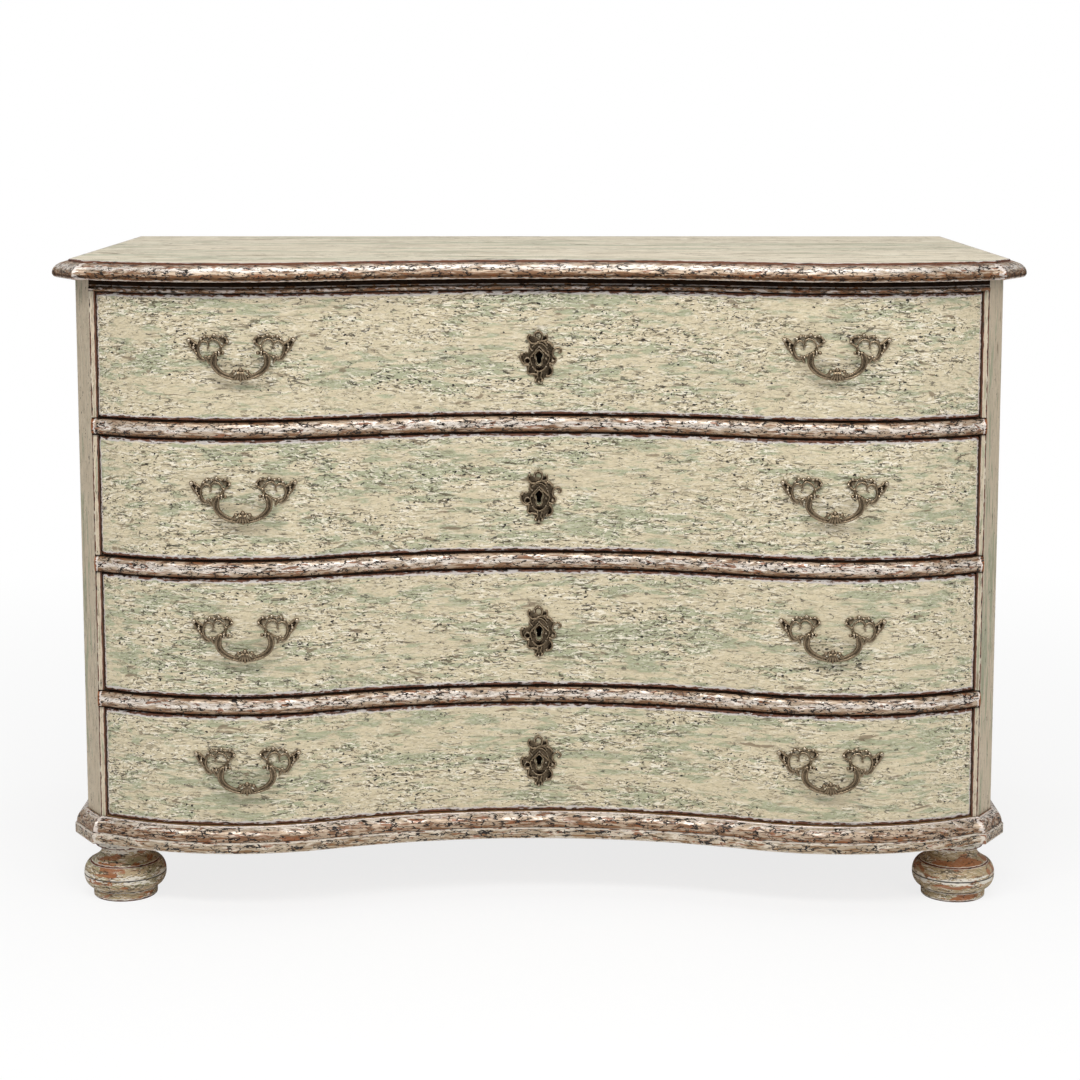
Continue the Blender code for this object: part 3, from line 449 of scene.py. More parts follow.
@dataclass(frozen=True)
class WornLeaf:
    """Silver leaf over white and red bole, toned with brown varnish, on the mouldings.

    The leaf is rubbed bright in patches and carries a painted highlight along the band of each
    section whose dirt value is 0, keeps brown varnish in long streaks that spread into painted shade
    on undersides, and is speckled nearly black there. Short splits run across it, like joints between
    bricks, down to the bole.
    """

    name: str
    grain: Grain
    bright: str = "#ebe1d6"
    silver: str = "#b5a18b"
    varnish: str = "#744f30"
    bole: str = "#86502c"
    dark: str = "#1b120c"
    chip: str = "#e2d8d0"
    streak_mm: float = 2.6
    plate_mm: float = 4.6
    shine: float = 0.6

    def build(self) -> bpy.types.Material:
        """Make the leaf's material.

        Returns:
            The material, which reads how dirty and how rubbed each corner of a section is.
        """
        coat = AgedCoat(self.name, self.grain)
        add = coat.add
        dirt_and_shade_value = add(ATTRIBUTE, out="Fac", attribute_name="dirt_and_shade")
        streaks = coat.brushed(self.streak_mm, 3.0, 1.0, 0.3, 2.0)
        patches = coat.brushed(self.streak_mm * 2.2, 4.0, 2.0, 0.6, 1.2)
        fine = coat.brushed(self.streak_mm * 0.6, 3.0, 3.0, 0.0, 1.2)
        # Painted highlight: the bright leaf covers the band of each section where the dirt value is near 0,
        # besides patches at random.
        leaf = add(MATH, {0: dirt_and_shade_value, 1: -0.7, 2: patches}, operation="MULTIPLY_ADD")
        leaf = add(RANGE, {0: leaf, 1: 0.28, 2: 0.48}, interpolation_type=SMOOTH)
        # Painted shade: brown varnish spreads as the dirt value rises towards the undersides, besides its
        # long streaks.
        level = add(MATH, {0: dirt_and_shade_value, 1: 0.32, 2: streaks}, operation="MULTIPLY_ADD")
        varnish_and_shade = add(RANGE, {0: level, 1: 0.57, 2: 0.71, 4: 0.92}, interpolation_type=SMOOTH)
        red = add(MATH, {0: streaks, 1: 0.4, 2: patches}, operation="MULTIPLY_ADD")
        red = add(RANGE, {0: red, 1: 0.80, 2: 0.86, 4: 0.85}, interpolation_type=SMOOTH)
        grey = add(RANGE, {0: fine, 1: 0.52, 2: 0.74, 4: 0.5}, interpolation_type=SMOOTH)
        # Dark specks grow larger where the dirt value is high, so the leaf is darker towards the bottom.
        radius = add(MATH, {0: dirt_and_shade_value, 1: 0.22, 2: 0.13}, operation="MULTIPLY_ADD")
        pits = [
            coat.pits(4.2, radius, 0.45, 5.0),
            coat.splits(self.plate_mm, 0.075, 4.0, 0.50),
            coat.splits(self.plate_mm * 0.55, 0.11, 8.0, 0.55),
        ]
        colour = coat.over(
            linear(self.silver),
            ((leaf, self.bright), (varnish_and_shade, self.varnish), (red, self.bole), (grey, self.varnish)),
        )
        colour = coat.over(colour, ((pit, self.dark) for pit in pits))
        height = add(MATH, {0: fine, 1: 0.5}, operation="MULTIPLY")
        for pit in pits:
            height = add(MATH, {0: pit, 1: -1.0, 2: height}, operation="MULTIPLY_ADD")
        colour, height = coat.rubbed(colour, height, self.bole, self.chip, self.dark)
        gloss = add(RANGE, {0: patches, 1: 0.3, 2: 0.7, 3: 0.38, 4: 0.20})
        metal = add(RANGE, {0: level, 1: 0.45, 2: 0.65, 3: self.shine, 4: self.shine * 0.3})
        gloss = add(MATH, {0: dirt_and_shade_value, 1: 0.4, 2: gloss}, operation="MULTIPLY_ADD")
        shine = add(RANGE, {0: dirt_and_shade_value, 1: 0.4, 2: 1.0, 3: 0.5, 4: 0.05})
        relief = add(BUMP, {"Height": height, "Strength": 0.5, "Distance": 0.0007})
        return coat.shade(
            Base_Color=colour, Roughness=gloss, Metallic=metal, Specular_IOR_Level=shine,
            Normal=relief,
        )


@dataclass(frozen=True)
class CastBronze:
    """Cast bronze, patinated nearly black and rubbed to metal on its high parts."""

    name: str = "patinated_cast_bronze"
    rubbed: str = "#ebe1cf"
    brown: str = "#8d7c65"
    hollow: str = "#17100b"

    def build(self) -> bpy.types.Material:
        """Make the bronze's material.

        Returns:
            The material, which reads how raised each point is from the casting.
        """
        book = NodeBook(bpy.data.materials.new(self.name))
        add = book.add
        raised = add(ATTRIBUTE, out="Fac", attribute_name="raised")
        place = add(COORD, out="Object")
        grit = add(NOISE, {"Vector": place, "Scale": 700.0, "Detail": 4.0}, "Fac")
        cloud = add(NOISE, {"Vector": place, "Scale": 90.0, "Detail": 2.0}, "Fac")
        level = add(MATH, {0: grit, 1: 0.35, 2: raised}, operation="MULTIPLY_ADD")
        low = add(RANGE, {0: level, 1: 0.50, 2: 0.80})
        high = add(RANGE, {0: level, 1: 0.80, 2: 1.02})
        colour = book.over(linear(self.hollow), ((low, self.brown), (high, self.rubbed)))
        gloss = add(RANGE, {0: cloud, 3: 0.20, 4: 0.36})
        relief = add(BUMP, {"Height": grit, "Strength": 0.25, "Distance": 0.0004})
        return book.shade(Base_Color=colour, Metallic=1.0, Roughness=gloss, Normal=relief)


@dataclass(frozen=True)
class SawnPine:
    """Unpainted pine, planed by hand and browned with age: bands of growth rings and fine pores."""

    name: str
    grain: Grain
    light: str = "#b0895b"
    ring: str = "#8a663f"
    gap: str = "#2e2014"
    ring_mm: float = 11.0
    board_mm: float = 240.0
    joint_mm: float = 1.6
    across: tuple[float, float, float] = (0.0, 1.0, 1.0)

    def build(self) -> bpy.types.Material:
        """Make the pine's material.

        Returns:
            The material, with rings drawn out along the grain and the joints of its boards.
        """
        book = NodeBook(bpy.data.materials.new(self.name))
        add = book.add
        place = add(COORD, out="Object")

        # Boards lie side by side, and each has rings of its own.
        side = add(VECTOR, {0: place, 1: self.across}, "Value", operation="DOT_PRODUCT")
        side = add(MATH, {0: side, 1: 1.0 / (self.board_mm * MM)}, operation="MULTIPLY")
        board = add(MATH, {0: side}, operation="FLOOR")
        spot = add(MATH, {0: side}, operation="FRACT")
        joint = add(MATH, {0: spot, 1: self.joint_mm / self.board_mm}, operation="LESS_THAN")
        apart = add(VECTOR, {0: (3.7, 2.3, 1.9), 3: board}, operation="SCALE")
        place = add(VECTOR, {0: place, 1: apart}, operation="ADD")
        scale = [part ** 3 * 0.6 / (self.ring_mm * MM) for part in self.grain.value[:3]]
        drawn = add(MAPPING, {"Vector": place, "Scale": scale})
        rings = add(NOISE, {"Vector": drawn, "Scale": 1.0, "Detail": 2.0, "Distortion": 0.8}, "Fac")
        bands = add(MATH, {0: rings, 1: 7.0}, operation="MULTIPLY")
        band = add(MATH, {0: bands}, operation="FRACT")
        pores = add(NOISE, {"Vector": drawn, "Scale": 9.0, "Detail": 3.0}, "Fac")
        share = add(RANGE, {0: band, 1: 0.45, 2: 1.0})
        fleck = add(RANGE, {0: pores, 1: 0.35, 2: 0.7, 4: 0.4})
        colour = book.over(
            linear(self.light), ((share, self.ring), (fleck, self.ring), (joint, self.gap))
        )
        height = add(MATH, {0: joint, 1: -2.0, 2: pores}, operation="MULTIPLY_ADD")
        relief = add(BUMP, {"Height": height, "Strength": 0.3, "Distance": 0.0005})
        return book.shade(Base_Color=colour, Roughness=0.72, Normal=relief)


@dataclass(frozen=True)
class ForgedIron:
    """Hand-forged iron of the locks: dark oxide with brown rust in patches."""

    name: str = "forged_iron"
    oxide: str = "#33302d"
    rust: str = "#6a4128"

    def build(self) -> bpy.types.Material:
        """Make the iron's material.

        Returns:
            The material, with rust where the noise is high.
        """
        book = NodeBook(bpy.data.materials.new(self.name))
        add = book.add
        place = add(COORD, out="Object")
        patches = add(NOISE, {"Vector": place, "Scale": 130.0, "Detail": 5.0}, "Fac")
        share = add(RANGE, {0: patches, 1: 0.5, 2: 0.65})
        colour = book.over(linear(self.oxide), ((share, self.rust),))
        relief = add(BUMP, {"Height": patches, "Strength": 0.3, "Distance": 0.0006})
        return book.shade(Base_Color=colour, Metallic=0.7, Roughness=0.6, Normal=relief)


@dataclass(frozen=True)
class Finishes:
    """Every finish of the chest."""

    drawer: FlakedPaint = FlakedPaint("flaked_casein_paint_on_drawers", Grain.ALONG_X)
    top: FlakedPaint = FlakedPaint(
        "flaked_casein_paint_on_top", Grain.LENGTHWISE, cream="#d4c9b2", pale_and_highlight="#e6deca", sage="#a9ab93",
        sage_level=0.83, patch_mm=9.0, flake_mm=6.5, line=0.75, pit_radius=0.12, pit_share=0.3,
        split_level=0.66, streak=0.6, scuff="#94866c", dirt_and_shade="#7d715a", calm=0.5,
    )
    leaf: WornLeaf = WornLeaf("rubbed_silver_leaf_over_bole", Grain.ALONG_X)
    band: WornLeaf = WornLeaf(
        "browned_leaf_on_base", Grain.ALONG_X, bright="#ddd1bf", silver="#ab9a83", varnish="#795834",
        chip="#d8cfc2", plate_mm=5.6, shine=0.2,
    )
    case: FlakedPaint = FlakedPaint(
        "flaked_casein_paint_on_case", Grain.UPRIGHT, cream="#c6b69d", pale_and_highlight="#d8ccb6", sage="#979c80",
        dirt_and_shade="#7b6e59", sage_level=0.85, patch_mm=6.0, line=0.35, scuff_level=0.66, pit_radius=0.14,
        pit_share=0.3, chip="#d2c8b4", split_level=0.66,
    )
    foot: FlakedPaint = FlakedPaint(
        "flaked_casein_paint_on_feet", Grain.ROUND, cream="#b09c79", pale_and_highlight="#ece5d5", sage="#9a9370",
        dirt_and_shade="#4a3a28", scuff="#9a582b", scuff_level=0.555, pit_radius=0.18, pit_share=0.4, ground="#6a3b24",
        chip="#ece6da", calm=0.35, line=0.8, split_level=0.55, sage_level=0.84,
    )
    bronze: CastBronze = CastBronze()
    iron: ForgedIron = ForgedIron()
    pine_x: SawnPine = SawnPine("sawn_pine_across", Grain.ALONG_X)
    pine_y: SawnPine = SawnPine("sawn_pine_deep", Grain.ALONG_Y, joint_mm=0.0, across=(0.0, 0.0, 0.0))


class Palette:
    """Materials by the names of their finishes, each made when it is first asked for."""

    def __init__(self, finishes: Finishes) -> None:
        """Start with no materials.

        Args:
            finishes: The finishes to choose from.
        """
        self.finishes = finishes
        self.made: dict[str, bpy.types.Material] = {}

    def __getitem__(self, name: str) -> bpy.types.Material:
        """Return the material of a finish.

        Args:
            name: The finish's name in Finishes.

        Returns:
            Its material, the same one each time.
        """
        if name not in self.made:
            self.made[name] = getattr(self.finishes, name).build()
        return self.made[name]


@dataclass(frozen=True)
class Place:
    """A place on the way of a sweep: where the section stands, and how rubbed it is there."""

    matrix: Matrix
    wear: float = 0.0


def plan_matrix(x: float, y: float, out: Sequence[float], low: float) -> Matrix:
    """Matrix that stands a section of (outward, 0, height) at a place in plan.

    Args:
        x: Where the section's origin goes.
        y: Where the section's origin goes.
        out: Outward direction in plan, longer than 1 on a mitre.
        low: Height of the section's origin.

    Returns:
        The matrix.
    """
    return Matrix((
        (out[0], -out[1], 0.0, x), (out[1], out[0], 0.0, y), (0.0, 0.0, 1.0, low), (0.0, 0.0, 0.0, 1.0),
    ))


def carried(
    builder: bmesh.types.BMesh, edges: Sequence[bmesh.types.BMEdge], before: Matrix, after: Matrix
) -> tuple[list[bmesh.types.BMVert], list[bmesh.types.BMEdge]]:
    """Extrude a loop of edges from one place to the next.

    Args:
        builder: The mesh that the edges are in.
        edges: The loop.
        before: Where it stands.
        after: Where the new loop goes.

    Returns:
        Corners and edges of the new loop.
    """
    grown = bmesh.ops.extrude_edge_only(builder, edges=edges)["geom"]
    moved = [item for item in grown if isinstance(item, bmesh.types.BMVert)]
    bmesh.ops.transform(builder, matrix=after @ before.inverted(), verts=moved)
    return moved, [item for item in grown if isinstance(item, bmesh.types.BMEdge)]


def thickened(
    builder: bmesh.types.BMesh, faces: Sequence[bmesh.types.BMFace], way: Sequence[float]
) -> tuple[list[bmesh.types.BMVert], list[bmesh.types.BMFace]]:
    """Extrude faces along a way.

    Args:
        builder: The mesh that the faces are in.
        faces: The faces.
        way: How far along x, y and z.

    Returns:
        Corners and faces of the far side.
    """
    grown = bmesh.ops.extrude_face_region(builder, geom=faces)["geom"]
    moved = [item for item in grown if isinstance(item, bmesh.types.BMVert)]
    bmesh.ops.translate(builder, verts=moved, vec=way)
    return moved, [item for item in grown if isinstance(item, bmesh.types.BMFace)]


def sweep(builder: bmesh.types.BMesh, section: Sequence[Corner], places: Sequence[Place]) -> None:
    """Extrude a closed section from place to place, and close its ends.

    Args:
        builder: The mesh that the body is added to.
        section: The section's corners in order.
        places: Where the section stands, from one end to the other.
    """
    # New corners take over "rubbed", the section's own wear, to which each place adds its own.
    layers = builder.verts.layers.float
    wear, dirt_and_shade, rubbed = (layers.get(name) or layers.new(name) for name in ("wear", "dirt_and_shade", "rubbed"))
    corners = []
    for out, height, worn, dirt_and_shade_value in section:
        corner = builder.verts.new(places[0].matrix @ Vector((out, 0.0, height)))
        corner[rubbed], corner[dirt_and_shade] = worn, dirt_and_shade_value
        corner[wear] = max(worn, places[0].wear)
        corners.append(corner)
    edges = [builder.edges.new(pair) for pair in zip(corners, corners[1:] + corners[:1])]
    first = list(edges)
    for before, after in zip(places, places[1:]):
        moved, edges = carried(builder, edges, before.matrix, after.matrix)
        for corner in moved:
            corner[wear] = max(corner[rubbed], after.wear)
    bmesh.ops.holes_fill(builder, edges=first)
    bmesh.ops.holes_fill(builder, edges=edges)


def finish_mesh(builder: bmesh.types.BMesh, name: str, sharp_degrees: float = 40.0) -> bpy.types.Mesh:
    """Merge doubles, turn all faces outward and shade the mesh.

    Args:
        builder: The finished bmesh, which is freed.
        name: Name of the mesh.
        sharp_degrees: Edges that turn more than this stay sharp.

    Returns:
        The mesh.
    """
    bmesh.ops.remove_doubles(builder, verts=builder.verts, dist=1e-6)
    bmesh.ops.recalc_face_normals(builder, faces=builder.faces)
    mesh = bpy.data.meshes.new(name)
    builder.to_mesh(mesh)
    builder.free()
    mesh.shade_smooth()
    mesh.set_sharp_from_angle(angle=math.radians(sharp_degrees))
    return mesh


def rounded(
    centre: Sequence[float], radii: Sequence[float], start: float, stop: float, steps: int,
    wear: float, dirt_and_shade: Sequence[float],
) -> list[Corner]:
    """Corners of a section on an ellipse, between two angles in degrees.

    Args:
        centre: Middle of the ellipse.
        radii: Its half sizes.
        start: First angle.
        stop: Last angle.
        steps: Number of steps between them.
        wear: How rubbed the corners are.
        dirt_and_shade: How dirty the first and the last corner are, a number that also paints shade.

    Returns:
        The corners.
    """
    corners = []
    for step in range(steps + 1):
        share = step / steps
        angle = math.radians(start + (stop - start) * share)
        corners.append((
            centre[0] + radii[0] * math.cos(angle), centre[1] + radii[1] * math.sin(angle),
            wear, dirt_and_shade[0] + (dirt_and_shade[1] - dirt_and_shade[0]) * share,
        ))
    return corners


def linked(name: str, data: bpy.types.ID) -> bpy.types.Object:
    """Make an object of some data and link it to the scene.

    Args:
        name: Name of the object.
        data: Its mesh, camera or lamp.

    Returns:
        The object.
    """
    made = bpy.data.objects.new(name, data)
    bpy.context.scene.collection.objects.link(made)
    return made


def put(
    name: str, mesh: bpy.types.Mesh, material: bpy.types.Material, body: str, nodes: Iterable[str],
) -> bpy.types.Object:
    """Link a finished piece, and say what it rides on and stands for.

    Args:
        name: Name of the piece.
        mesh: Its mesh, already in place.
        material: Its material.
        body: The body that it moves with.
        nodes: CAD nodes that it stands for.

    Returns:
        The piece.
    """
    mesh.materials.clear()
    mesh.materials.append(material)
    piece = linked(name, mesh)
    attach(piece, body)
    if nodes:
        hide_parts(*nodes)
    log.info("%s: %d faces, rides on %s", name, len(mesh.polygons), body)
    return piece


def applied(piece: bpy.types.Object, name: str) -> bpy.types.Mesh:
    """Take the mesh of an object with its modifiers applied, and remove the object.

    Args:
        piece: The object.
        name: Name of the new mesh.

    Returns:
        The mesh.
    """
    bpy.context.view_layer.update()
    graph = bpy.context.evaluated_depsgraph_get()
    mesh = bpy.data.meshes.new_from_object(piece.evaluated_get(graph))
    mesh.name = name
    bpy.data.objects.remove(piece)
    return mesh


@dataclass(frozen=True)
class Plan:
    """Plan of the front: two bulges with a hollow between them, cut from circular arcs."""

    end_plane_y: float = -0.2725
    half_drawer: float = 0.5795
    bulge_x: float = 0.406
    bulge_rise: float = 0.046
    hollow_depth: float = 0.027
    stile_edge_x: float = 0.5885
    case_half_width: float = 0.614
    cant_depth: float = 0.042
    back_y: float = 0.3415
    steps: int = 26

    @property
    def bulge_radius(self) -> float:
        """Radius of a bulge."""
        return ((self.half_drawer - self.bulge_x) ** 2 + self.bulge_rise ** 2) / (2 * self.bulge_rise)

    @property
    def hollow_radius(self) -> float:
        """Radius of the hollow."""
        wave = self.bulge_rise + self.hollow_depth
        return (self.bulge_x ** 2 + wave ** 2) / (2 * wave) - self.bulge_radius

    @property
    def turn_angle(self) -> float:
        """Angle at which the hollow runs over into a bulge."""
        across = self.hollow_radius - self.hollow_depth - self.bulge_rise + self.bulge_radius
        return math.atan2(self.bulge_x, across)

    @property
    def end_angle(self) -> float:
        """Angle of a bulge at the drawer's end."""
        return math.asin((self.half_drawer - self.bulge_x) / self.bulge_radius)

    def half_front(self, near_end: Sequence[float]) -> list[tuple[float, float, float, float]]:
        """Points of the right half of the front, with the direction outward at each.

        Args:
            near_end: Distances from the end of the last points, the largest first.

        Returns:
            (x, y, outward x, outward y) from the middle to the drawer's end.
        """
        points = []
        centre_y = self.end_plane_y + self.hollow_depth - self.hollow_radius
        for step in range(self.steps):
            angle = self.turn_angle * step / self.steps
            sine, cosine = math.sin(angle), math.cos(angle)
            points.append((
                self.hollow_radius * sine, centre_y + self.hollow_radius * cosine, -sine, -cosine
            ))
        centre_y = self.end_plane_y - self.bulge_rise + self.bulge_radius
        ends = [self.end_angle - distance / self.bulge_radius for distance in near_end]
        angles = [
            -self.turn_angle + (self.turn_angle + ends[0]) * step / self.steps
            for step in range(self.steps)
        ]
        for angle in angles + ends:
            sine, cosine = math.sin(angle), math.cos(angle)
            points.append((
                self.bulge_x + self.bulge_radius * sine, centre_y - self.bulge_radius * cosine,
                sine, -cosine,
            ))
        return points

    def front(
        self, low: float, flat_ends: bool = False, worn_ends: bool = False, reach: float = 0.0,
        near_end: Sequence[float] = (0.006, 0.0),
    ) -> list[Place]:
        """Places along the front, from the left end to the right end.

        Args:
            low: Height of the section's origin.
            flat_ends: Whether the ends lie square to the chest's width.
            worn_ends: Whether the ends are rubbed.
            reach: Where the line runs straight on to past the drawers' ends, or 0.
            near_end: Distances from the end of the last places, the largest first.

        Returns:
            The places.
        """
        right = self.half_front(near_end)
        x, y, _, _ = right[-1]
        if flat_ends:
            for number in range(1 - len(near_end), 0):
                right[number] = (*right[number][:2], 0.0, -1.0 / math.cos(self.end_angle))
        elif reach:
            right[-1] = (x, y, math.tan(self.end_angle / 2), -1.0)
            right.append((reach, self.end_plane_y, 0.0, -1.0))
        left = [(-x, y, -out_x, out_y) for x, y, out_x, out_y in reversed(right[1:])]
        line = left + right
        places = []
        for number, (x, y, out_x, out_y) in enumerate(line):
            wear = 1.0 if worn_ends and number in (0, len(line) - 1) else 0.0
            places.append(Place(plan_matrix(x, y, (out_x, out_y), low), wear))
        return places

    def lengths(self, low: float) -> list[list[Place]]:
        """Places of the five lengths of a moulding: side, cant, front, cant, side.

        Args:
            low: Height of the section's origin.

        Returns:
            One list of places for each length, with rubbed mitres.
        """
        cant = Vector((self.cant_depth, self.case_half_width - self.stile_edge_x)).normalized()
        front_corner = (self.stile_edge_x, self.end_plane_y, cant.x / (1 + cant.y), -1.0)
        side_corner = (
            self.case_half_width, self.end_plane_y + self.cant_depth, 1.0, -cant.y / (1 + cant.x)
        )
        back = (self.case_half_width, self.back_y, 1.0, 0.0)
        lengths = []
        for side in (-1.0, 1.0):
            for ends in ((back, side_corner), (side_corner, front_corner)):
                places = []
                for share, wear in ((0.0, 0.7), (0.03, 0.0), (0.5, 0.0), (0.97, 0.0), (1.0, 0.7)):
                    x, y, out_x, out_y = (
                        start + (stop - start) * share for start, stop in zip(*ends)
                    )
                    matrix = plan_matrix(side * x, y, (side * out_x, out_y), low)
                    places.append(Place(matrix, wear))
                lengths.append(places)
        front = self.front(low, reach=self.stile_edge_x)
        x, y, out_x, out_y = front_corner
        front[0] = Place(plan_matrix(-x, y, (-out_x, out_y), low), 0.7)
        front[-1] = Place(plan_matrix(x, y, (out_x, out_y), low), 0.7)
        lengths.append(front)
        return lengths

    def outline(self, offset: float, back_y: float) -> list[tuple[float, float]]:
        """Corners of the case's outline moved outward.

        Args:
            offset: Distance outward.
            back_y: Where the outline ends at the back.

        Returns:
            (x, y) corners from the back left corner round to the back right.
        """
        points = []
        for places in (self.lengths(0.0)[0], self.lengths(0.0)[1]):
            for place in (places[0], places[-1]):
                points.append(place.matrix @ Vector((offset, 0.0, 0.0)))
        points += [place.matrix @ Vector((offset, 0.0, 0.0)) for place in self.lengths(0.0)[4][1:-1]]
        right = [Vector((-point.x, point.y, 0.0)) for point in reversed(points[:4])]
        corners = [(point.x, point.y) for point in points + right]
        corners[0] = (corners[0][0], back_y)
        corners[-1] = (corners[-1][0], back_y)
        kept = []
        for corner in corners:
            if not kept or math.dist(kept[-1], corner) > 1e-5:
                kept.append(corner)
        return kept


@dataclass
class Case:
    """Top, frieze, posts, rails, base moulding and feet."""

    plan: Plan
    palette: Palette
    top_low: float = 0.8413
    top_thickness: float = 0.024
    top_step: float = 0.003
    field_out: float = 0.008
    nose_out: float = 0.029
    nose_undercut: float = 0.005
    nose_widest: float = 0.0062
    top_back_y: float = 0.3475
    edge_depth: float = 0.030
    groove_depth: float = 0.0006
    field_low: float = 0.004
    field_round: float = 0.0012
    field_rim: float = 0.006
    post_depth: float = 0.060
    stile_gap: float = 0.0012
    stile_back: float = 0.0008
    arris: float = 0.0007
    arris_end: float = 0.0034
    rail_height: float = 0.0232
    rail_nose_out: float = 0.0068
    rail_fillet_out: float = 0.0015
    rail_fillet_high: float = 0.0016
    rail_depth: float = 0.045
    rail_lap: float = 0.004
    rail_joint: float = 0.0045
    dust_board: float = 0.010
    back_inner_y: float = 0.3292
    base_low: float = 0.085
    base_height: float = 0.034
    base_out: float = 0.017
    base_band: float = 0.0145
    base_top_out: float = 0.0035
    belly_middle: tuple[float, float] = (0.0430, 0.0315)
    belly_radii: tuple[float, float] = (0.0125, 0.0183)

    def swept(
        self, name: str, finish: str, nodes: Iterable[str],
        bodies: Iterable[tuple[Sequence[Corner], Sequence[Place]]], sharp_degrees: float = 40.0,
    ) -> None:
        """Sweep the lengths of a moulding, and put them in place as one piece.

        Args:
            name: Name of the piece.
            finish: Name of its finish.
            nodes: CAD nodes that it stands for.
            bodies: Section and places of each length.
            sharp_degrees: Edges that turn more than this stay sharp.
        """
        builder = bmesh.new()
        for section, places in bodies:
            sweep(builder, section, places)
        mesh = finish_mesh(builder, name, sharp_degrees)
        put(name, mesh, self.palette[finish], "root", nodes)

    def top(self) -> None:
        """Build the top: a moulded edge in five mitred lengths round a raised field."""
        step = self.top_thickness - self.top_step
        groove = step - self.groove_depth
        middle = (self.field_out, self.nose_widest)
        radii = (self.nose_out - self.field_out, step - self.nose_widest)
        # The last number of each corner paints shade under the nose and in the groove by the field, and
        # falls to 0 partway up the nose, where the leaf gets its painted highlight.
        section: list[Corner] = [
            (-self.edge_depth, 0.0, 0.0, 1.2), (self.nose_out - 0.012, 0.0, 0.0, 0.8),
            (self.nose_out - self.nose_undercut, 0.0, 0.75, 0.5),
            (self.nose_out - 0.0022, 0.0012, 0.45, 0.5),
        ]
        section += rounded(middle, radii, -8, 36, 6, 0.0, (0.95, 0.0))
        section += rounded(middle, radii, 43, 78, 5, 0.0, (0.0, 0.5))
        section += [
            (self.field_out + 0.0030, step, 0.35, 0.1), (self.field_out + 0.0006, groove, 0.9, 0.6),
            (self.field_out - 0.004, groove, 0.9, 0.6), (-self.edge_depth, groove, 0.0, 0.0),
        ]
        lengths = [(section, places) for places in self.plan.lengths(self.top_low)]
        self.swept("top_edge_moulding", "leaf", (), lengths, 50)

        builder = bmesh.new()
        wear = builder.verts.layers.float.new("wear")
        builder.verts.layers.float.new("dirt_and_shade")
        low = self.top_low + self.field_low
        outline = self.plan.outline(self.field_out, self.top_back_y)
        corners = [builder.verts.new((x, y, low)) for x, y in outline]
        high = self.top_low + self.top_thickness - self.field_round
        moved, (face,) = thickened(builder, [builder.faces.new(corners)], (0, 0, high - low))
        for corner in moved:
            corner[wear] = 0.95
        for thickness, depth, worn in (
            (self.field_round, self.field_round, 0.6), (self.field_rim, 0.0, 0.0)
        ):
            bmesh.ops.inset_region(
                builder, faces=[face], thickness=thickness, depth=depth, use_even_offset=True
            )
            for corner in face.verts:
                corner[wear] = worn
        mesh = finish_mesh(builder, "top_field", 30)
        put("top_field", mesh, self.palette["top"], "root", ("top_board",))

    def rail(self, number: int) -> None:
        """Build the rail under a drawer, with its half-round nose and the dust board behind it.

        Args:
            number: Number of the drawer over the rail.
        """
        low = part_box(f"divider_{number}")[0].z
        middle = self.rail_height / 2
        radii = (self.rail_nose_out - self.rail_fillet_out, middle - self.rail_fillet_high)
        # The last number of each corner paints shadow in the gaps above and below the nose and shade on its
        # underside, and falls to 0 just above its middle, where the leaf gets its painted highlight.
        section: list[Corner] = [
            (-self.rail_lap, 0.0, 0.0, 1.4), (self.rail_fillet_out, 0.0, 0.0, 1.4),
            (self.rail_fillet_out, self.rail_fillet_high * 0.75, 0.0, 1.3),
        ]
        section += rounded((self.rail_fillet_out, middle), radii, -84, -4, 8, 0.0, (0.95, 0.1))
        section += rounded((self.rail_fillet_out, middle), radii, 6, 84, 8, 0.0, (0.0, 0.45))
        section += [
            (self.rail_fillet_out, self.rail_height - self.rail_fillet_high * 0.75, 0.2, 1.2),
            (self.rail_fillet_out, self.rail_height, 0.0, 1.3),
            (-self.rail_lap, self.rail_height, 0.0, 1.4),
        ]
        bar: list[Corner] = [
            (-self.rail_depth, 0.0, 0.0, 0.3), (-self.rail_joint, 0.0, 0.0, 0.3),
            (-self.rail_joint, self.rail_height, 0.0, 0.3),
            (-self.rail_depth, self.rail_height, 0.0, 0.3),
        ]
        nose_places = self.plan.front(low, reach=self.plan.stile_edge_x, worn_ends=True)
        bodies = ((section, nose_places), (bar, self.plan.front(low, flat_ends=True)))
        self.swept(f"rail_{number}", "leaf", (f"divider_{number}",), bodies)

        builder = bmesh.new()
        top = low + self.rail_height
        line = [place.matrix.translation for place in self.plan.front(top, flat_ends=True)]
        corners = [builder.verts.new((point.x, point.y + self.rail_depth, top)) for point in line]
        corners.append(builder.verts.new((line[-1].x, self.back_inner_y, top)))
        corners.append(builder.verts.new((line[0].x, self.back_inner_y, top)))
        thickened(builder, [builder.faces.new(corners)], (0, 0, -self.dust_board))
        mesh = finish_mesh(builder, f"dust_board_{number}")
        put(f"dust_board_{number}", mesh, self.palette["pine_x"], "root", ())

    def frieze(self) -> None:
        """Build the frieze rail over the top drawer, with its bead."""
        box_low, box_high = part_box("frieze_rail")
        low, height = box_low.z, box_high.z - box_low.z
        # The last number paints the recess under the top's nose nearly black as its shadow, and shades the
        # bead's underside.
        section: list[Corner] = [(-self.rail_depth, 0.0, 0.0, 0.8), (0.0003, 0.0, 0.2, 1.0)]
        section += rounded((0.0034, 0.0026), (0.0022, 0.0026), -90, 90, 8, 0.35, (1.0, 0.2))
        section += [
            (0.0008, 0.0056, 0.3, 1.0), (0.0008, 0.0078, 0.5, 0.8), (0.0008, 0.0098, 0.0, 1.35),
            (0.0008, height, 0.0, 1.6), (-self.rail_depth, height, 0.0, 1.0),
        ]
        places = self.plan.front(low, reach=self.plan.stile_edge_x)
        self.swept("frieze_with_bead", "leaf", ("frieze_rail",), ((section, places),))

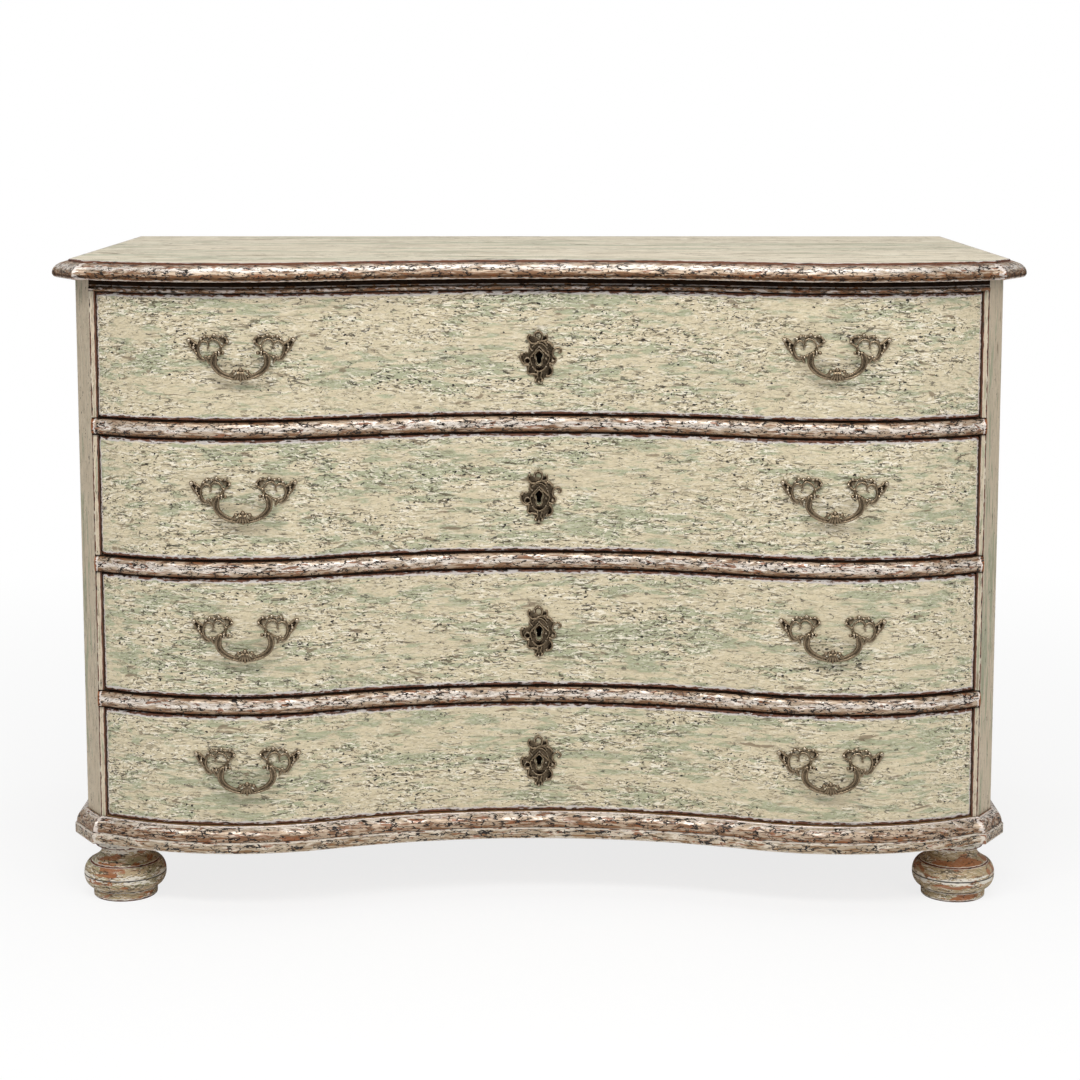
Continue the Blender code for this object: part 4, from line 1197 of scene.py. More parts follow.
    def base(self) -> None:
        """Build the base moulding: a flat band, a step and an ovolo, in five mitred lengths."""
        out, band = self.base_out, self.base_band
        # The last number of each corner paints shade under the band and where the ovolo overhangs it, and
        # falls to 0 at the ovolo's top for its painted highlight.
        band_section: list[Corner] = [
            (0.0003, 0.0, 0.0, 1.0), (out - 0.0060, 0.0, 0.0, 0.9), (out - 0.0015, 0.0, 0.6, 0.6),
            (out - 0.0004, 0.0005, 0.6, 0.5), (out, 0.0016, 0.4, 0.4), (out, 0.0050, 0.0, 0.3),
            (out, band - 0.0030, 0.0, 0.2), (out, band - 0.0008, 0.6, 0.2),
            (out - 0.0008, band, 0.6, 0.4), (out - 0.0030, band + 0.0002, 0.5, 0.9),
            (0.0003, band + 0.0002, 0.0, 1.0),
        ]
        low, high = band + 0.0010, self.base_height - 0.0020
        ovolo_section: list[Corner] = [
            (0.0004, band - 0.0010, 0.0, 1.0), (out - 0.0036, band - 0.0010, 0.0, 1.0),
            (out - 0.0024, band + 0.0004, 0.5, 1.0),
        ]
        ovolo_section += rounded(
            (self.base_top_out, low), (out - 0.0020 - self.base_top_out, high - low), 0, 84, 12,
            0.0, (0.55, 0.0),
        )
        ovolo_section += [
            (self.base_top_out + 0.0004, self.base_height - 0.0016, 0.6, 0.7),
            (self.base_top_out, self.base_height - 0.0004, 0.5, 0.3),
            (self.base_top_out - 0.0006, self.base_height, 0.3, 0.3),
            (0.0004, self.base_height, 0.0, 0.9),
        ]
        for name, section, finish, nodes in (
            ("base_ovolo_lengths", ovolo_section, "leaf", ("base_moulding",)),
            ("base_band_lengths", band_section, "band", ()),
        ):
            lengths = [(section, places) for places in self.plan.lengths(self.base_low)]
            self.swept(name, finish, nodes, lengths)

    def posts(self) -> None:
        """Build the two front posts, with a narrow stile and a canted face."""
        plan = self.plan
        inner = plan.half_drawer + self.stile_gap
        front = plan.end_plane_y + self.stile_back
        cant_end = plan.end_plane_y + plan.cant_depth
        back = plan.end_plane_y + self.post_depth
        shape = [
            Vector((inner, front)), Vector((plan.stile_edge_x, front)),
            Vector((plan.case_half_width, cant_end)), Vector((plan.case_half_width, back)),
            Vector((inner, back)),
        ]
        section: list[Corner] = []
        for number, corner in enumerate(shape):
            before, after = shape[number - 1], shape[(number + 1) % len(shape)]
            worn = (1.15, 0.8, 0.6, 0.0, 0.0)[number]
            for neighbour, distance, share in (
                (before, self.arris_end, 0.0), (before, self.arris, 1.0),
                (after, self.arris, 1.0), (after, self.arris_end, 0.0),
            ):
                spot = corner + (neighbour - corner).normalized() * distance
                section.append((spot.x, spot.y, worn * share, 0.15))
        low, high = (corner.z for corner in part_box("left_corner_post"))
        for word, side in (("left", -1.0), ("right", 1.0)):
            builder = bmesh.new()
            places = []
            for height, wear in ((low, 0.6), (low + 0.04, 0.0), (high - 0.004, 0.0), (high, 0.0)):
                matrix = Matrix((
                    (side, 0.0, 0.0, 0.0), (0.0, 0.0, 1.0, 0.0), (0.0, 1.0, 0.0, height),
                    (0.0, 0.0, 0.0, 1.0),
                ))
                places.append(Place(matrix, wear))
            sweep(builder, section, places)
            mesh = finish_mesh(builder, f"{word}_post", 30)
            put(
                f"{word}_front_post", mesh, self.palette["case"], "root",
                (f"{word}_corner_post",),
            )

    def feet(self) -> None:
        """Spin the four bun feet: disc, belly with an incised line, groove, neck and collar."""
        # The last number of each corner darkens the disc at the floor, the belly's underside, the incised
        # line and the grooves of the collar: painted shade with dirt.
        incised: list[Corner] = [(0.0551, 0.0313, 0.5, 1.5), (0.0549, 0.0317, 0.5, 1.5)]
        belly: list[Corner] = []
        for start, stop, steps, worn, dirt_and_shade_value, line in (
            (-84, -24, 6, 0.1, (0.7, 0.1), []), (-14, -4, 2, 0.42, (0.1, 0.1), incised),
            (6, 16, 2, 0.42, (0.1, 0.1), []), (26, 62, 4, 0.1, (0.0, 0.0), []),
        ):
            belly += rounded(self.belly_middle, self.belly_radii, start, stop, steps, worn, dirt_and_shade_value) + line
        profile: list[Corner] = [
            (0.0, 0.0, 0.0, 0.6), (0.0415, 0.0, 0.9, 0.6), (0.0428, 0.0012, 0.8, 0.3),
            (0.0430, 0.0040, 0.2, 0.2), (0.0430, 0.0100, 0.2, 0.3), (0.0424, 0.0124, 0.8, 0.9),
        ]
        profile += belly
        profile += [
            (0.0480, 0.0469, 0.1, 0.1), (0.0466, 0.0480, 0.9, 0.5), (0.0459, 0.0488, 0.9, 0.5),
            (0.0452, 0.0496, 0.5, 0.2), (0.0440, 0.0505, 0.0, 0.1), (0.0385, 0.0540, 0.0, 0.1),
            (0.0340, 0.0580, 0.0, 0.2), (0.0316, 0.0620, 0.2, 0.4), (0.0318, 0.0655, 0.4, 0.6),
            (0.0345, 0.0690, 0.5, 0.5), (0.0390, 0.0710, 0.8, 0.4), (0.0390, 0.0830, 0.0, 0.7),
            (0.0375, 0.0847, 0.0, 0.9), (0.0, 0.0847, 0.0, 0.9),
        ]
        for name in ("front_left_foot", "front_right_foot", "back_left_foot", "back_right_foot"):
            low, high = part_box(name)
            x, y = (low.x + high.x) / 2, (low.y + high.y) / 2
            builder = bmesh.new()
            wear = builder.verts.layers.float.new("wear")
            dirt_and_shade = builder.verts.layers.float.new("dirt_and_shade")
            corners = []
            for radius, height, worn, dirt_and_shade_value in profile:
                corner = builder.verts.new((x + radius, y, height))
                corner[wear], corner[dirt_and_shade] = worn, dirt_and_shade_value
                corners.append(corner)
            edges = [builder.edges.new(pair) for pair in zip(corners, corners[1:])]
            bmesh.ops.spin(
                builder, geom=corners + edges, cent=(x, y, 0), axis=(0, 0, 1), angle=2 * math.pi,
                steps=72, use_merge=True,
            )
            mesh = finish_mesh(builder, f"{name}_turning", 50)
            put(f"{name}_turned", mesh, self.palette["foot"], "root", (name,))

    def boards(self) -> None:
        """Give the plain boards of the case their finish."""
        for name in ("left_side_panel", "right_side_panel"):
            dress(name, self.palette["case"])
        for name in ("bottom_board", "back_panel"):
            dress(name, self.palette["pine_x"])

    def build(self) -> None:
        """Build the whole case."""
        self.top()
        self.frieze()
        self.posts()
        for number in (1, 2, 3):
            self.rail(number)
        self.base()
        self.feet()
        self.boards()


def dress(node: str, material: bpy.types.Material) -> None:
    """Give a CAD node that stays in view its material.

    Args:
        node: Name of the node.
        material: The material for all its slots.
    """
    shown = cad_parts[node]
    if not shown.material_slots:
        shown.data.materials.append(material)
    for place in shown.material_slots:
        place.material = material
    log.info("%s keeps its CAD shape", node)


class Casting:
    """A small cast piece, in millimetres: x to the right, y away from the viewer, z up."""

    sides = 10
    skew = (0.83, 0.29, 0.47)

    def __init__(self) -> None:
        """Start with nothing."""
        self.builder = bmesh.new()

    def ball(self, x: float, z: float, out: float, radius: float, depth: float = 1.0) -> None:
        """Add a bead.

        Args:
            x: Its middle.
            z: Its middle.
            out: Distance of its middle in front of the plate's back.
            radius: Its radius.
            depth: Its thickness as a share of its width.
        """
        matrix = Matrix.Translation((x, -out, z)) @ Matrix.Diagonal((1.0, depth, 1.0, 1.0))
        bmesh.ops.create_uvsphere(
            self.builder, u_segments=14, v_segments=8, radius=radius, matrix=matrix
        )

    def rod(
        self, points: Sequence[Sequence[float]], across: Sequence[float] = (0.0, 1.0, 0.0),
        smooth: bool = True, closed: bool = False, depth: float = 1.0,
    ) -> None:
        """Add a rod along a path.

        Args:
            points: (x, z, out, radius) points of the path.
            across: A direction that the path never runs along.
            smooth: Whether the path is rounded between its points.
            closed: Whether the path ends where it starts.
            depth: Thickness along the first cross direction as a share of the width.
        """
        path = rounded_path([Vector(point) for point in points], 4, closed) if smooth else [
            Vector(point) for point in points
        ]
        spots = [Vector((point[0], -point[2], point[1])) for point in path]
        matrices = []
        for number, spot in enumerate(spots):
            before = spots[number - 1] if number or closed else spot
            after = spots[(number + 1) % len(spots)] if number + 1 < len(spots) or closed else spot
            along = (after - before).normalized()
            side = Vector(across)
            side = (side - along * side.dot(along)).normalized()
            cross = along.cross(side)
            radius = path[number][3]
            matrices.append(Matrix((
                (cross.x * radius, side.x * radius * depth, along.x, spot.x),
                (cross.y * radius, side.y * radius * depth, along.y, spot.y),
                (cross.z * radius, side.z * radius * depth, along.z, spot.z),
                (0.0, 0.0, 0.0, 1.0),
            )))
        if closed:
            matrices.append(matrices[0])
        ring = bmesh.ops.create_circle(
            self.builder, cap_ends=False, segments=self.sides, radius=1.0, matrix=matrices[0]
        )
        self.builder.edges.index_update()
        around = {edge for corner in ring["verts"] for edge in corner.link_edges}
        edges = sorted(around, key=lambda edge: edge.index)
        first = list(edges)
        for before_matrix, after_matrix in zip(matrices, matrices[1:]):
            _, edges = carried(self.builder, edges, before_matrix, after_matrix)
        if closed:
            bmesh.ops.remove_doubles(self.builder, verts=self.builder.verts, dist=0.001)
            return
        bmesh.ops.holes_fill(self.builder, edges=first)
        bmesh.ops.holes_fill(self.builder, edges=edges)
        for place in (0, -1):
            x, z, out, radius = path[place]
            self.ball(x, z, out, radius, depth if across[1] else 1.0)

    def sheet(
        self, outline: Sequence[Sequence[float]], low: float, high: float,
        holes: Sequence[Sequence[Sequence[float]]] = (),
    ) -> None:
        """Add a flat sheet, pierced by holes.

        Args:
            outline: (x, z) corners of the sheet.
            low: Distance of its back in front of the plate's back.
            high: Distance of its face.
            holes: (x, z) corners of each hole.
        """
        edges = []
        for loop in [outline, *holes]:
            corners = [self.builder.verts.new((x, -low, z)) for x, z in loop]
            edges += [self.builder.edges.new(pair) for pair in zip(corners, corners[1:] + corners[:1])]
        filled = bmesh.ops.triangle_fill(self.builder, use_beauty=True, use_dissolve=False, edges=edges)
        faces = [item for item in filled["geom"] if isinstance(item, bmesh.types.BMFace)]
        thickened(self.builder, faces, (0, low - high, 0))

    def bend(self, radius: float) -> None:
        """Wrap everything so far round an upright cylinder behind it.

        Args:
            radius: Radius of the surface that the plate lies on.
        """
        for corner in self.builder.verts:
            angle = corner.co.x / radius
            reach = radius - corner.co.y
            corner.co.x = reach * math.sin(angle)
            corner.co.y = radius - reach * math.cos(angle)

    def fuse(self, name: str, voxel_mm: float, keep: float) -> bpy.types.Mesh:
        """Fuse the parts into one skin, and note how raised each point of it is.

        Args:
            name: Name of the mesh.
            voxel_mm: Fineness of the skin.
            keep: Share of the faces that is kept.

        Returns:
            The mesh, in metres, with the attribute "raised".
        """
        bmesh.ops.recalc_face_normals(self.builder, faces=self.builder.faces)
        # Filled sheets come with their faces in a new order each run, and the skin depends on it.
        self.builder.faces.sort(key=lambda face: face.calc_center_median().dot(self.skew))
        bmesh.ops.scale(self.builder, vec=(MM, MM, MM), verts=self.builder.verts)
        mesh = bpy.data.meshes.new(name)
        self.builder.to_mesh(mesh)
        self.builder.free()
        piece = linked(name, mesh)
        remesh = piece.modifiers.new("skin", "REMESH")
        remesh.mode = "VOXEL"
        remesh.voxel_size = voxel_mm * MM
        soften = piece.modifiers.new("soften", "SMOOTH")
        soften.factor = 0.5
        soften.iterations = 1
        thin = piece.modifiers.new("thin", "DECIMATE")
        thin.ratio = keep
        fused = applied(piece, name)
        fused.shade_smooth()
        note_relief(fused)
        return fused


def rounded_path(points: Sequence[Vector], steps: int, closed: bool) -> list[Vector]:
    """Round a path of 4-part points with a Catmull-Rom curve.

    Args:
        points: The path's points.
        steps: Number of steps from one point to the next.
        closed: Whether the path ends where it starts.

    Returns:
        The finer path.
    """
    count = len(points)
    finer = []
    for number in range(count if closed else count - 1):
        if closed:
            p0, p1, p2, p3 = (points[(number + shift) % count] for shift in (-1, 0, 1, 2))
        else:
            p0, p1 = points[max(number - 1, 0)], points[number]
            p2, p3 = points[number + 1], points[min(number + 2, count - 1)]
        for step in range(steps):
            t = step / steps
            finer.append(0.5 * (
                2 * p1 + (p2 - p0) * t + (2 * p0 - 5 * p1 + 4 * p2 - p3) * t ** 2
                + (3 * p1 - p0 - 3 * p2 + p3) * t ** 3
            ))
    if not closed:
        finer.append(points[-1].copy())
    return finer


def drop_crumbs(builder: bmesh.types.BMesh) -> None:
    """Keep the largest shell of a skin, and delete the crumbs that its voxels leave.

    Args:
        builder: The skin.
    """
    left = set(builder.verts)
    shells = []
    while left:
        ring = {left.pop()}
        shell = set(ring)
        while ring:
            ring = {edge.other_vert(corner) for corner in ring for edge in corner.link_edges} - shell
            shell |= ring
        left -= shell
        shells.append(shell)
    for shell in sorted(shells, key=len)[:-1]:
        bmesh.ops.delete(builder, geom=list(shell), context="VERTS")


def note_relief(mesh: bpy.types.Mesh) -> None:
    """Write the attribute "raised": 0.5 where a skin is flat, more on ridges, less in hollows.

    Args:
        mesh: The skin.
    """
    builder = bmesh.new()
    builder.from_mesh(mesh)
    drop_crumbs(builder)
    raised = builder.verts.layers.float.new("raised")
    for corner in builder.verts:
        around = [edge.other_vert(corner).co for edge in corner.link_edges]
        middle = sum(around, Vector()) / max(len(around), 1)
        corner[raised] = (corner.co - middle).dot(corner.normal) / MM
    for _ in range(3):
        level = {
            corner: sum(edge.other_vert(corner)[raised] for edge in corner.link_edges)
            / max(len(corner.link_edges), 1)
            for corner in builder.verts
        }
        for corner, value in level.items():
            corner[raised] = 0.5 * corner[raised] + 0.5 * value
    for corner in builder.verts:
        corner[raised] = min(max(0.5 + 3.0 * corner[raised], 0.0), 1.0)
    builder.to_mesh(mesh)
    builder.free()


@dataclass
class HandlePattern:
    """Pattern of a drop handle: two pierced scroll plates and a bail between their eyes.

    Points are drawn after the photograph, in millimetres from the middle between the eyes.
    """

    surface_radius: float = 350.2
    eye_x: float = 27.0
    eye_out: float = 14.5
    bail_half: float = 36.6
    bail_drop: float = 32.8
    bail_widest: float = -10.9
    flatness: float = 0.56
    strand: float = 0.40
    ring_radius: float = 3.5
    ring_points: int = 10

    def plate(self) -> bpy.types.Mesh:
        """Make the right plate, in the handle's own place.

        Returns:
            Its mesh.
        """
        cast = Casting()
        lobe = [
            (25.6, 6.6), (20.4, 9.8), (17.2, 13.2), (18.6, 17.4), (23.3, 20.0), (28.4, 19.4),
            (33.4, 21.2), (39.0, 19.4), (45.2, 20.0), (50.0, 17.6), (52.8, 13.4), (54.4, 9.6),
        ]
        cast.rod([(x, z, 1.9, 1.65) for x, z in lobe])
        for x, z, radius in (
            (17.3, 13.3, 2.5), (22.9, 20.4, 2.3), (28.4, 19.2, 1.9), (34.0, 21.8, 2.7),
            (40.4, 19.2, 2.0), (46.6, 19.7, 2.6), (51.2, 16.4, 2.0), (25.2, 7.0, 2.1),
        ):
            cast.ball(x, z, 2.3, radius)
        heart_left = [(25.6, 7.2), (27.8, 12.0), (31.7, 15.4), (36.2, 16.5), (40.1, 14.6), (42.4, 10.8)]
        heart_right = [
            (42.4, 10.8), (45.2, 13.2), (49.1, 13.6), (53.0, 10.4), (54.9, 4.9), (54.1, -1.8),
            (50.8, -7.4), (46.9, -9.1), (44.0, -7.0),
        ]
        cast.rod([(x, z, 2.3, 1.55) for x, z in heart_left])
        cast.rod([(x, z, 2.3, 1.65) for x, z in heart_right])
        cast.rod([(42.4, 10.8, 2.0, 1.4), (41.4, 6.6, 1.8, 1.15), (43.4, 3.8, 1.6, 1.0)])
        cast.rod([(54.4, 9.6, 1.9, 1.8), (59.2, 12.0, 2.1, 1.8), (63.6, 15.4, 2.3, 1.9)])
        cast.ball(67.2, 15.0, 2.8, 3.5)
        cast.rod([
            (66.6, 10.6, 1.9, 1.8), (64.0, 5.2, 1.8, 1.8), (58.6, -0.6, 1.8, 1.8),
            (55.6, -5.6, 1.8, 1.8), (51.6, -10.6, 1.9, 1.9), (47.4, -10.8, 1.9, 1.8),
        ])
        for x, z, radius in ((61.0, 5.6, 2.4), (59.6, 1.6, 1.8), (57.6, -2.2, 1.7), (60.6, 9.4, 1.8)):
            cast.ball(x, z, 2.4, radius)
        cast.sheet([
            (54.6, 9.2), (59.2, 11.8), (64.0, 14.6), (66.4, 10.4), (63.6, 4.8), (58.4, -0.4), (54.9, 3.0)
        ], 0.4, 1.7)
        cast.sheet([
            (18.0, 13.0), (19.4, 17.0), (23.6, 19.2), (28.0, 18.4), (26.0, 13.0), (22.0, 11.0)
        ], 0.4, 0.9)
        cast.rod([(45.6, -6.4, 2.0, 2.2), (42.9, -11.0, 1.8, 2.0), (41.4, -14.6, 1.5, 1.5)])
        cast.ball(41.4, -7.4, 2.2, 2.1)
        cast.rod([
            (27.2, 0.6, 1.8, 2.4), (32.6, -2.4, 1.7, 1.9), (38.6, -5.6, 1.7, 1.7), (44.2, -7.2, 1.8, 1.8)
        ])
        cast.rod([(25.4, 6.8, 2.0, 1.8), (26.2, 3.4, 1.9, 2.2), (27.0, 0.2, 1.9, 2.6)])
        cast.bend(self.surface_radius)
        cast.rod(
            [(self.eye_x, 0.0, 0.9, 2.9), (self.eye_x, 0.0, 4.0, 2.2), (self.eye_x, 0.0, 11.2, 2.0)],
            across=(1.0, 0.0, 0.0), smooth=False,
        )
        ring = []
        for step in range(self.ring_points):
            angle = 2 * math.pi * step / self.ring_points
            z, out = self.ring_radius * math.sin(angle), self.ring_radius * math.cos(angle)
            ring.append((self.eye_x, z, self.eye_out + out, 1.35))
        cast.rod(ring, across=(1.0, 0.0, 0.0), closed=True)
        return cast.fuse("handle_plate", 0.42, 0.45)

    def bail(self) -> bpy.types.Mesh:
        """Make the bail, with the hinge line through its origin.

        Returns:
            Its mesh.
        """
        cast = Casting()
        half = [
            (22.4, -0.4, 0.0, 2.5), (25.2, -0.1, 0.0, 1.95), (28.7, 0.0, 0.0, 1.95),
            (29.9, -0.4, 0.1, 3.2), (32.2, -2.2, 0.2, 4.0), (34.0, -6.0, 0.3, 4.6),
        ]
        for step in range(9):
            angle = math.radians(90 * step / 8)
            x = (self.bail_half - 2.1) * math.cos(angle)
            z = self.bail_widest - (self.bail_drop + self.bail_widest) * math.sin(angle)
            half.append((x, z, 0.2, 4.7 - 1.5 * step / 8))
        for side in (-1, 1):
            cast.rod([(side * x, z, out, radius) for x, z, out, radius in half], depth=self.flatness)
            for edge in (-1, 1):
                strand = []
                for before, spot, after in zip(half[3:], half[4:], half[5:]):
                    along = Vector((after[0] - before[0], after[1] - before[1])).normalized()
                    x, z, out, radius = spot
                    reach, thin = edge * self.flatness * radius, self.strand * radius
                    strand.append((side * (x - reach * along.y), z + reach * along.x, out + thin, thin))
                cast.rod(strand)
            cast.ball(side * 22.4, -0.2, 0.0, 2.5)
        self.shell(cast)
        return cast.fuse("handle_bail", 0.40, 0.5)

    def shell(self, cast: Casting) -> None:
        """Add the fan of ribs, its three beads and its drop to the middle of the bail.

        Args:
            cast: The bail's casting.
        """
        cast.sheet([
            (-8.6, -34.0), (-5.8, -28.0), (-4.2, -24.0), (0.0, -22.0), (4.2, -24.0),
            (5.8, -28.0), (8.6, -34.0), (4.4, -35.2), (0.0, -35.6), (-4.4, -35.2),
        ], -1.6, 2.0)
        for step in range(-2, 3):
            top_x, low_x = step * 1.7, step * 4.1
            cast.rod([
                (top_x, -23.4 - 0.4 * abs(step), 2.0, 0.9), (top_x * 1.3, -27.0, 3.0, 1.35),
                (low_x * 0.8, -31.2, 2.8, 1.7), (low_x, -35.0 + 0.5 * abs(step), 1.8, 1.4),
            ])
        cast.ball(0.0, -21.4, 2.2, 3.0)
        for side in (-1, 1):
            cast.ball(side * 8.8, -24.2, 1.9, 2.8)
            cast.rod([
                (side * 8.8, -24.6, 1.4, 1.8), (side * 11.6, -27.6, 0.9, 2.2),
                (side * 13.6, -30.4, 0.4, 2.4),
            ])
            cast.ball(side * 4.6, -22.9, 1.8, 1.8)
        cast.ball(0.0, -36.0, 1.2, 1.9)


@dataclass
class KeyholePattern:
    """Pattern of the keyhole plate: a lopsided cartouche of scrolls round a hooded keyhole.

    Points are drawn after the photograph, in millimetres from the middle of the keyhole.
    """

    bulb_radius: float = 5.0
    slot_half: float = 3.0
    half_height: float = 9.5
    bulb_below_top: float = 6.75
    eyelet: tuple[float, float, float] = (-15.5, -3.9, 3.8)
    eyelet_points: int = 10

    def keyhole(self, grow: float) -> list[tuple[float, float]]:
        """Outline of the keyhole, widened all round.

        Args:
            grow: How much wider than the cut through the drawer's front.

        Returns:
            (x, z) corners.
        """
        bulb_z = self.half_height - self.bulb_below_top
        right = []
        for degrees in (50, 20, -4, -28, -52):
            angle = math.radians(degrees)
            reach = self.bulb_radius + grow
            right.append((reach * math.cos(angle), bulb_z + reach * math.sin(angle)))
        right += [
            (self.slot_half + grow, -self.half_height + 3.0),
            (self.slot_half * 0.7 + grow, -self.half_height + 0.8 - grow * 0.6),
        ]
        left = [(-x, z) for x, z in reversed(right)]
        return [(0.0, self.half_height + grow * 1.3)] + right + [(0.0, -self.half_height - grow)] + left

    def plate(self) -> bpy.types.Mesh:
        """Make the plate round the keyhole's middle.

        Returns:
            Its mesh.
        """
        cast = Casting()
        outline = [
            (-1.2, 36.6), (4.2, 33.4), (6.0, 29.0), (11.2, 29.2), (9.8, 22.8), (15.6, 20.0),
            (18.6, 15.0), (19.6, 12.0), (18.2, 7.4), (19.0, 3.0), (22.6, -1.0), (21.6, -4.8),
            (15.6, -9.6), (17.6, -15.0), (16.8, -20.4), (13.0, -24.6), (8.0, -25.8), (5.0, -31.0),
            (-0.4, -33.4), (-5.2, -31.2), (-6.4, -25.4), (-9.4, -22.4), (-15.6, -20.6), (-15.8, -15.6),
            (-17.2, -10.2), (-22.8, -6.0), (-24.6, 2.4), (-22.6, 6.6), (-18.6, 6.8), (-14.4, 7.2),
            (-13.4, 14.6), (-12.6, 18.6), (-10.0, 20.6), (-13.8, 23.8), (-14.4, 28.0), (-12.8, 30.6),
            (-6.6, 29.0), (-5.6, 33.0),
        ]
        crest_hole = [(-3.0, 32.2), (1.4, 32.0), (2.6, 29.0), (1.6, 25.0), (-1.6, 24.6), (-3.8, 27.6)]
        cast.sheet(outline, 0.3, 1.7, (self.keyhole(0.2), crest_hole))
        rods = (
            ([(-6.4, 28.5), (-5.7, 32.9), (-1.3, 35.4), (3.1, 33.4), (4.5, 29.2), (3.3, 24.0)],
             1.35, 2.4),
            ([(-12.8, 30.2), (-14.8, 27.5), (-13.4, 22.8), (-9.4, 19.4), (-4.7, 19.3)], 1.5, 2.4),
            ([(9.9, 29.6), (11.0, 26.0), (8.8, 23.2), (4.4, 22.4)], 1.4, 2.3),
            ([(-4.9, 18.6), (-1.3, 21.2), (3.4, 22.4), (7.8, 20.7), (10.5, 17.0)], 1.15, 2.7),
            ([(-8.6, 15.4), (-3.0, 18.8), (2.8, 19.1), (7.5, 16.2), (10.4, 12.4)], 0.95, 2.5),
            ([(11.2, 21.1), (14.9, 19.4), (17.8, 16.0)], 1.9, 2.4),
            ([(21.7, 0.1), (19.0, 2.8), (18.0, 7.2), (20.0, 11.6), (24.4, 13.6), (28.6, 11.8),
              (29.2, 8.6), (26.8, 6.8)], 1.45, 2.0),
            ([(22.2, -0.5), (22.0, -3.9), (18.4, -8.0), (14.4, -7.2)], 1.5, 2.2),
            ([(13.9, -9.3), (17.2, -13.7), (17.7, -18.4), (15.0, -23.0), (9.9, -24.7)], 1.55, 2.2),
            ([(-24.4, 2.8), (-24.0, -1.9), (-21.9, -6.3), (-18.2, -9.2), (-13.4, -9.7)], 1.5, 2.2),
            ([(-13.4, -9.7), (-14.5, -14.7), (-15.2, -18.6), (-12.4, -21.3), (-8.0, -21.1),
              (-2.6, -22.2)], 1.5, 2.2),
            ([(-8.4, -12.0), (-4.7, -16.1), (0.1, -17.8), (4.8, -16.2), (9.2, -11.6)], 1.1, 2.8),
            ([(-2.0, -20.0), (-2.0, -24.9), (-4.7, -28.9)], 1.25, 2.2),
            ([(3.4, -19.6), (2.4, -24.9), (4.6, -28.9)], 1.25, 2.2),
            ([(-13.4, 15.0), (-11.0, 11.6), (-9.0, 9.6)], 1.0, 2.2),
            ([(11.6, 8.8), (13.4, 4.0), (13.4, -2.0), (11.2, -7.4)], 1.0, 2.1),
            ([(-11.4, 2.0), (-11.2, -3.4), (-9.8, -8.6)], 1.0, 2.1),
        )
        for points, radius, out in rods:
            cast.rod([(x, z, out, radius) for x, z in points])
        hood = [(-10.1, 3.4), (-5.3, 8.9), (0.1, 15.2), (6.1, 8.8), (12.2, 3.4)]
        cast.rod([(x, z, 2.9, 1.1) for x, z in hood], smooth=False)
        cast.rod([(x, z, 2.2, 0.95) for x, z in self.keyhole(1.25)], smooth=False, closed=True)
        middle_x, middle_z, radius = self.eyelet
        eyelet = []
        for step in range(self.eyelet_points):
            angle = 2 * math.pi * step / self.eyelet_points
            x, z = middle_x + radius * math.cos(angle), middle_z + radius * math.sin(angle)
            eyelet.append((x, z, 2.1, 0.85))
        cast.rod(eyelet, closed=True)
        beads = (
            (-1.2, 36.8, 1.3), (-12.8, 30.4, 2.0), (9.9, 30.0, 2.1), (-9.6, 2.8, 1.7),
            (12.2, 3.0, 1.4), (26.6, 7.4, 2.1), (18.2, -3.8, 2.6), (10.2, -23.4, 1.8),
            (-22.6, 5.3, 2.4), (-17.4, 7.0, 1.7), (-4.7, -30.0, 1.9), (-0.3, -32.0, 2.1),
            (4.1, -30.2, 1.8), (9.4, -1.0, 1.3),
        )
        for x, z, radius in beads:
            cast.ball(x, z, 2.4, radius)
        return cast.fuse("keyhole_plate", 0.42, 0.45)


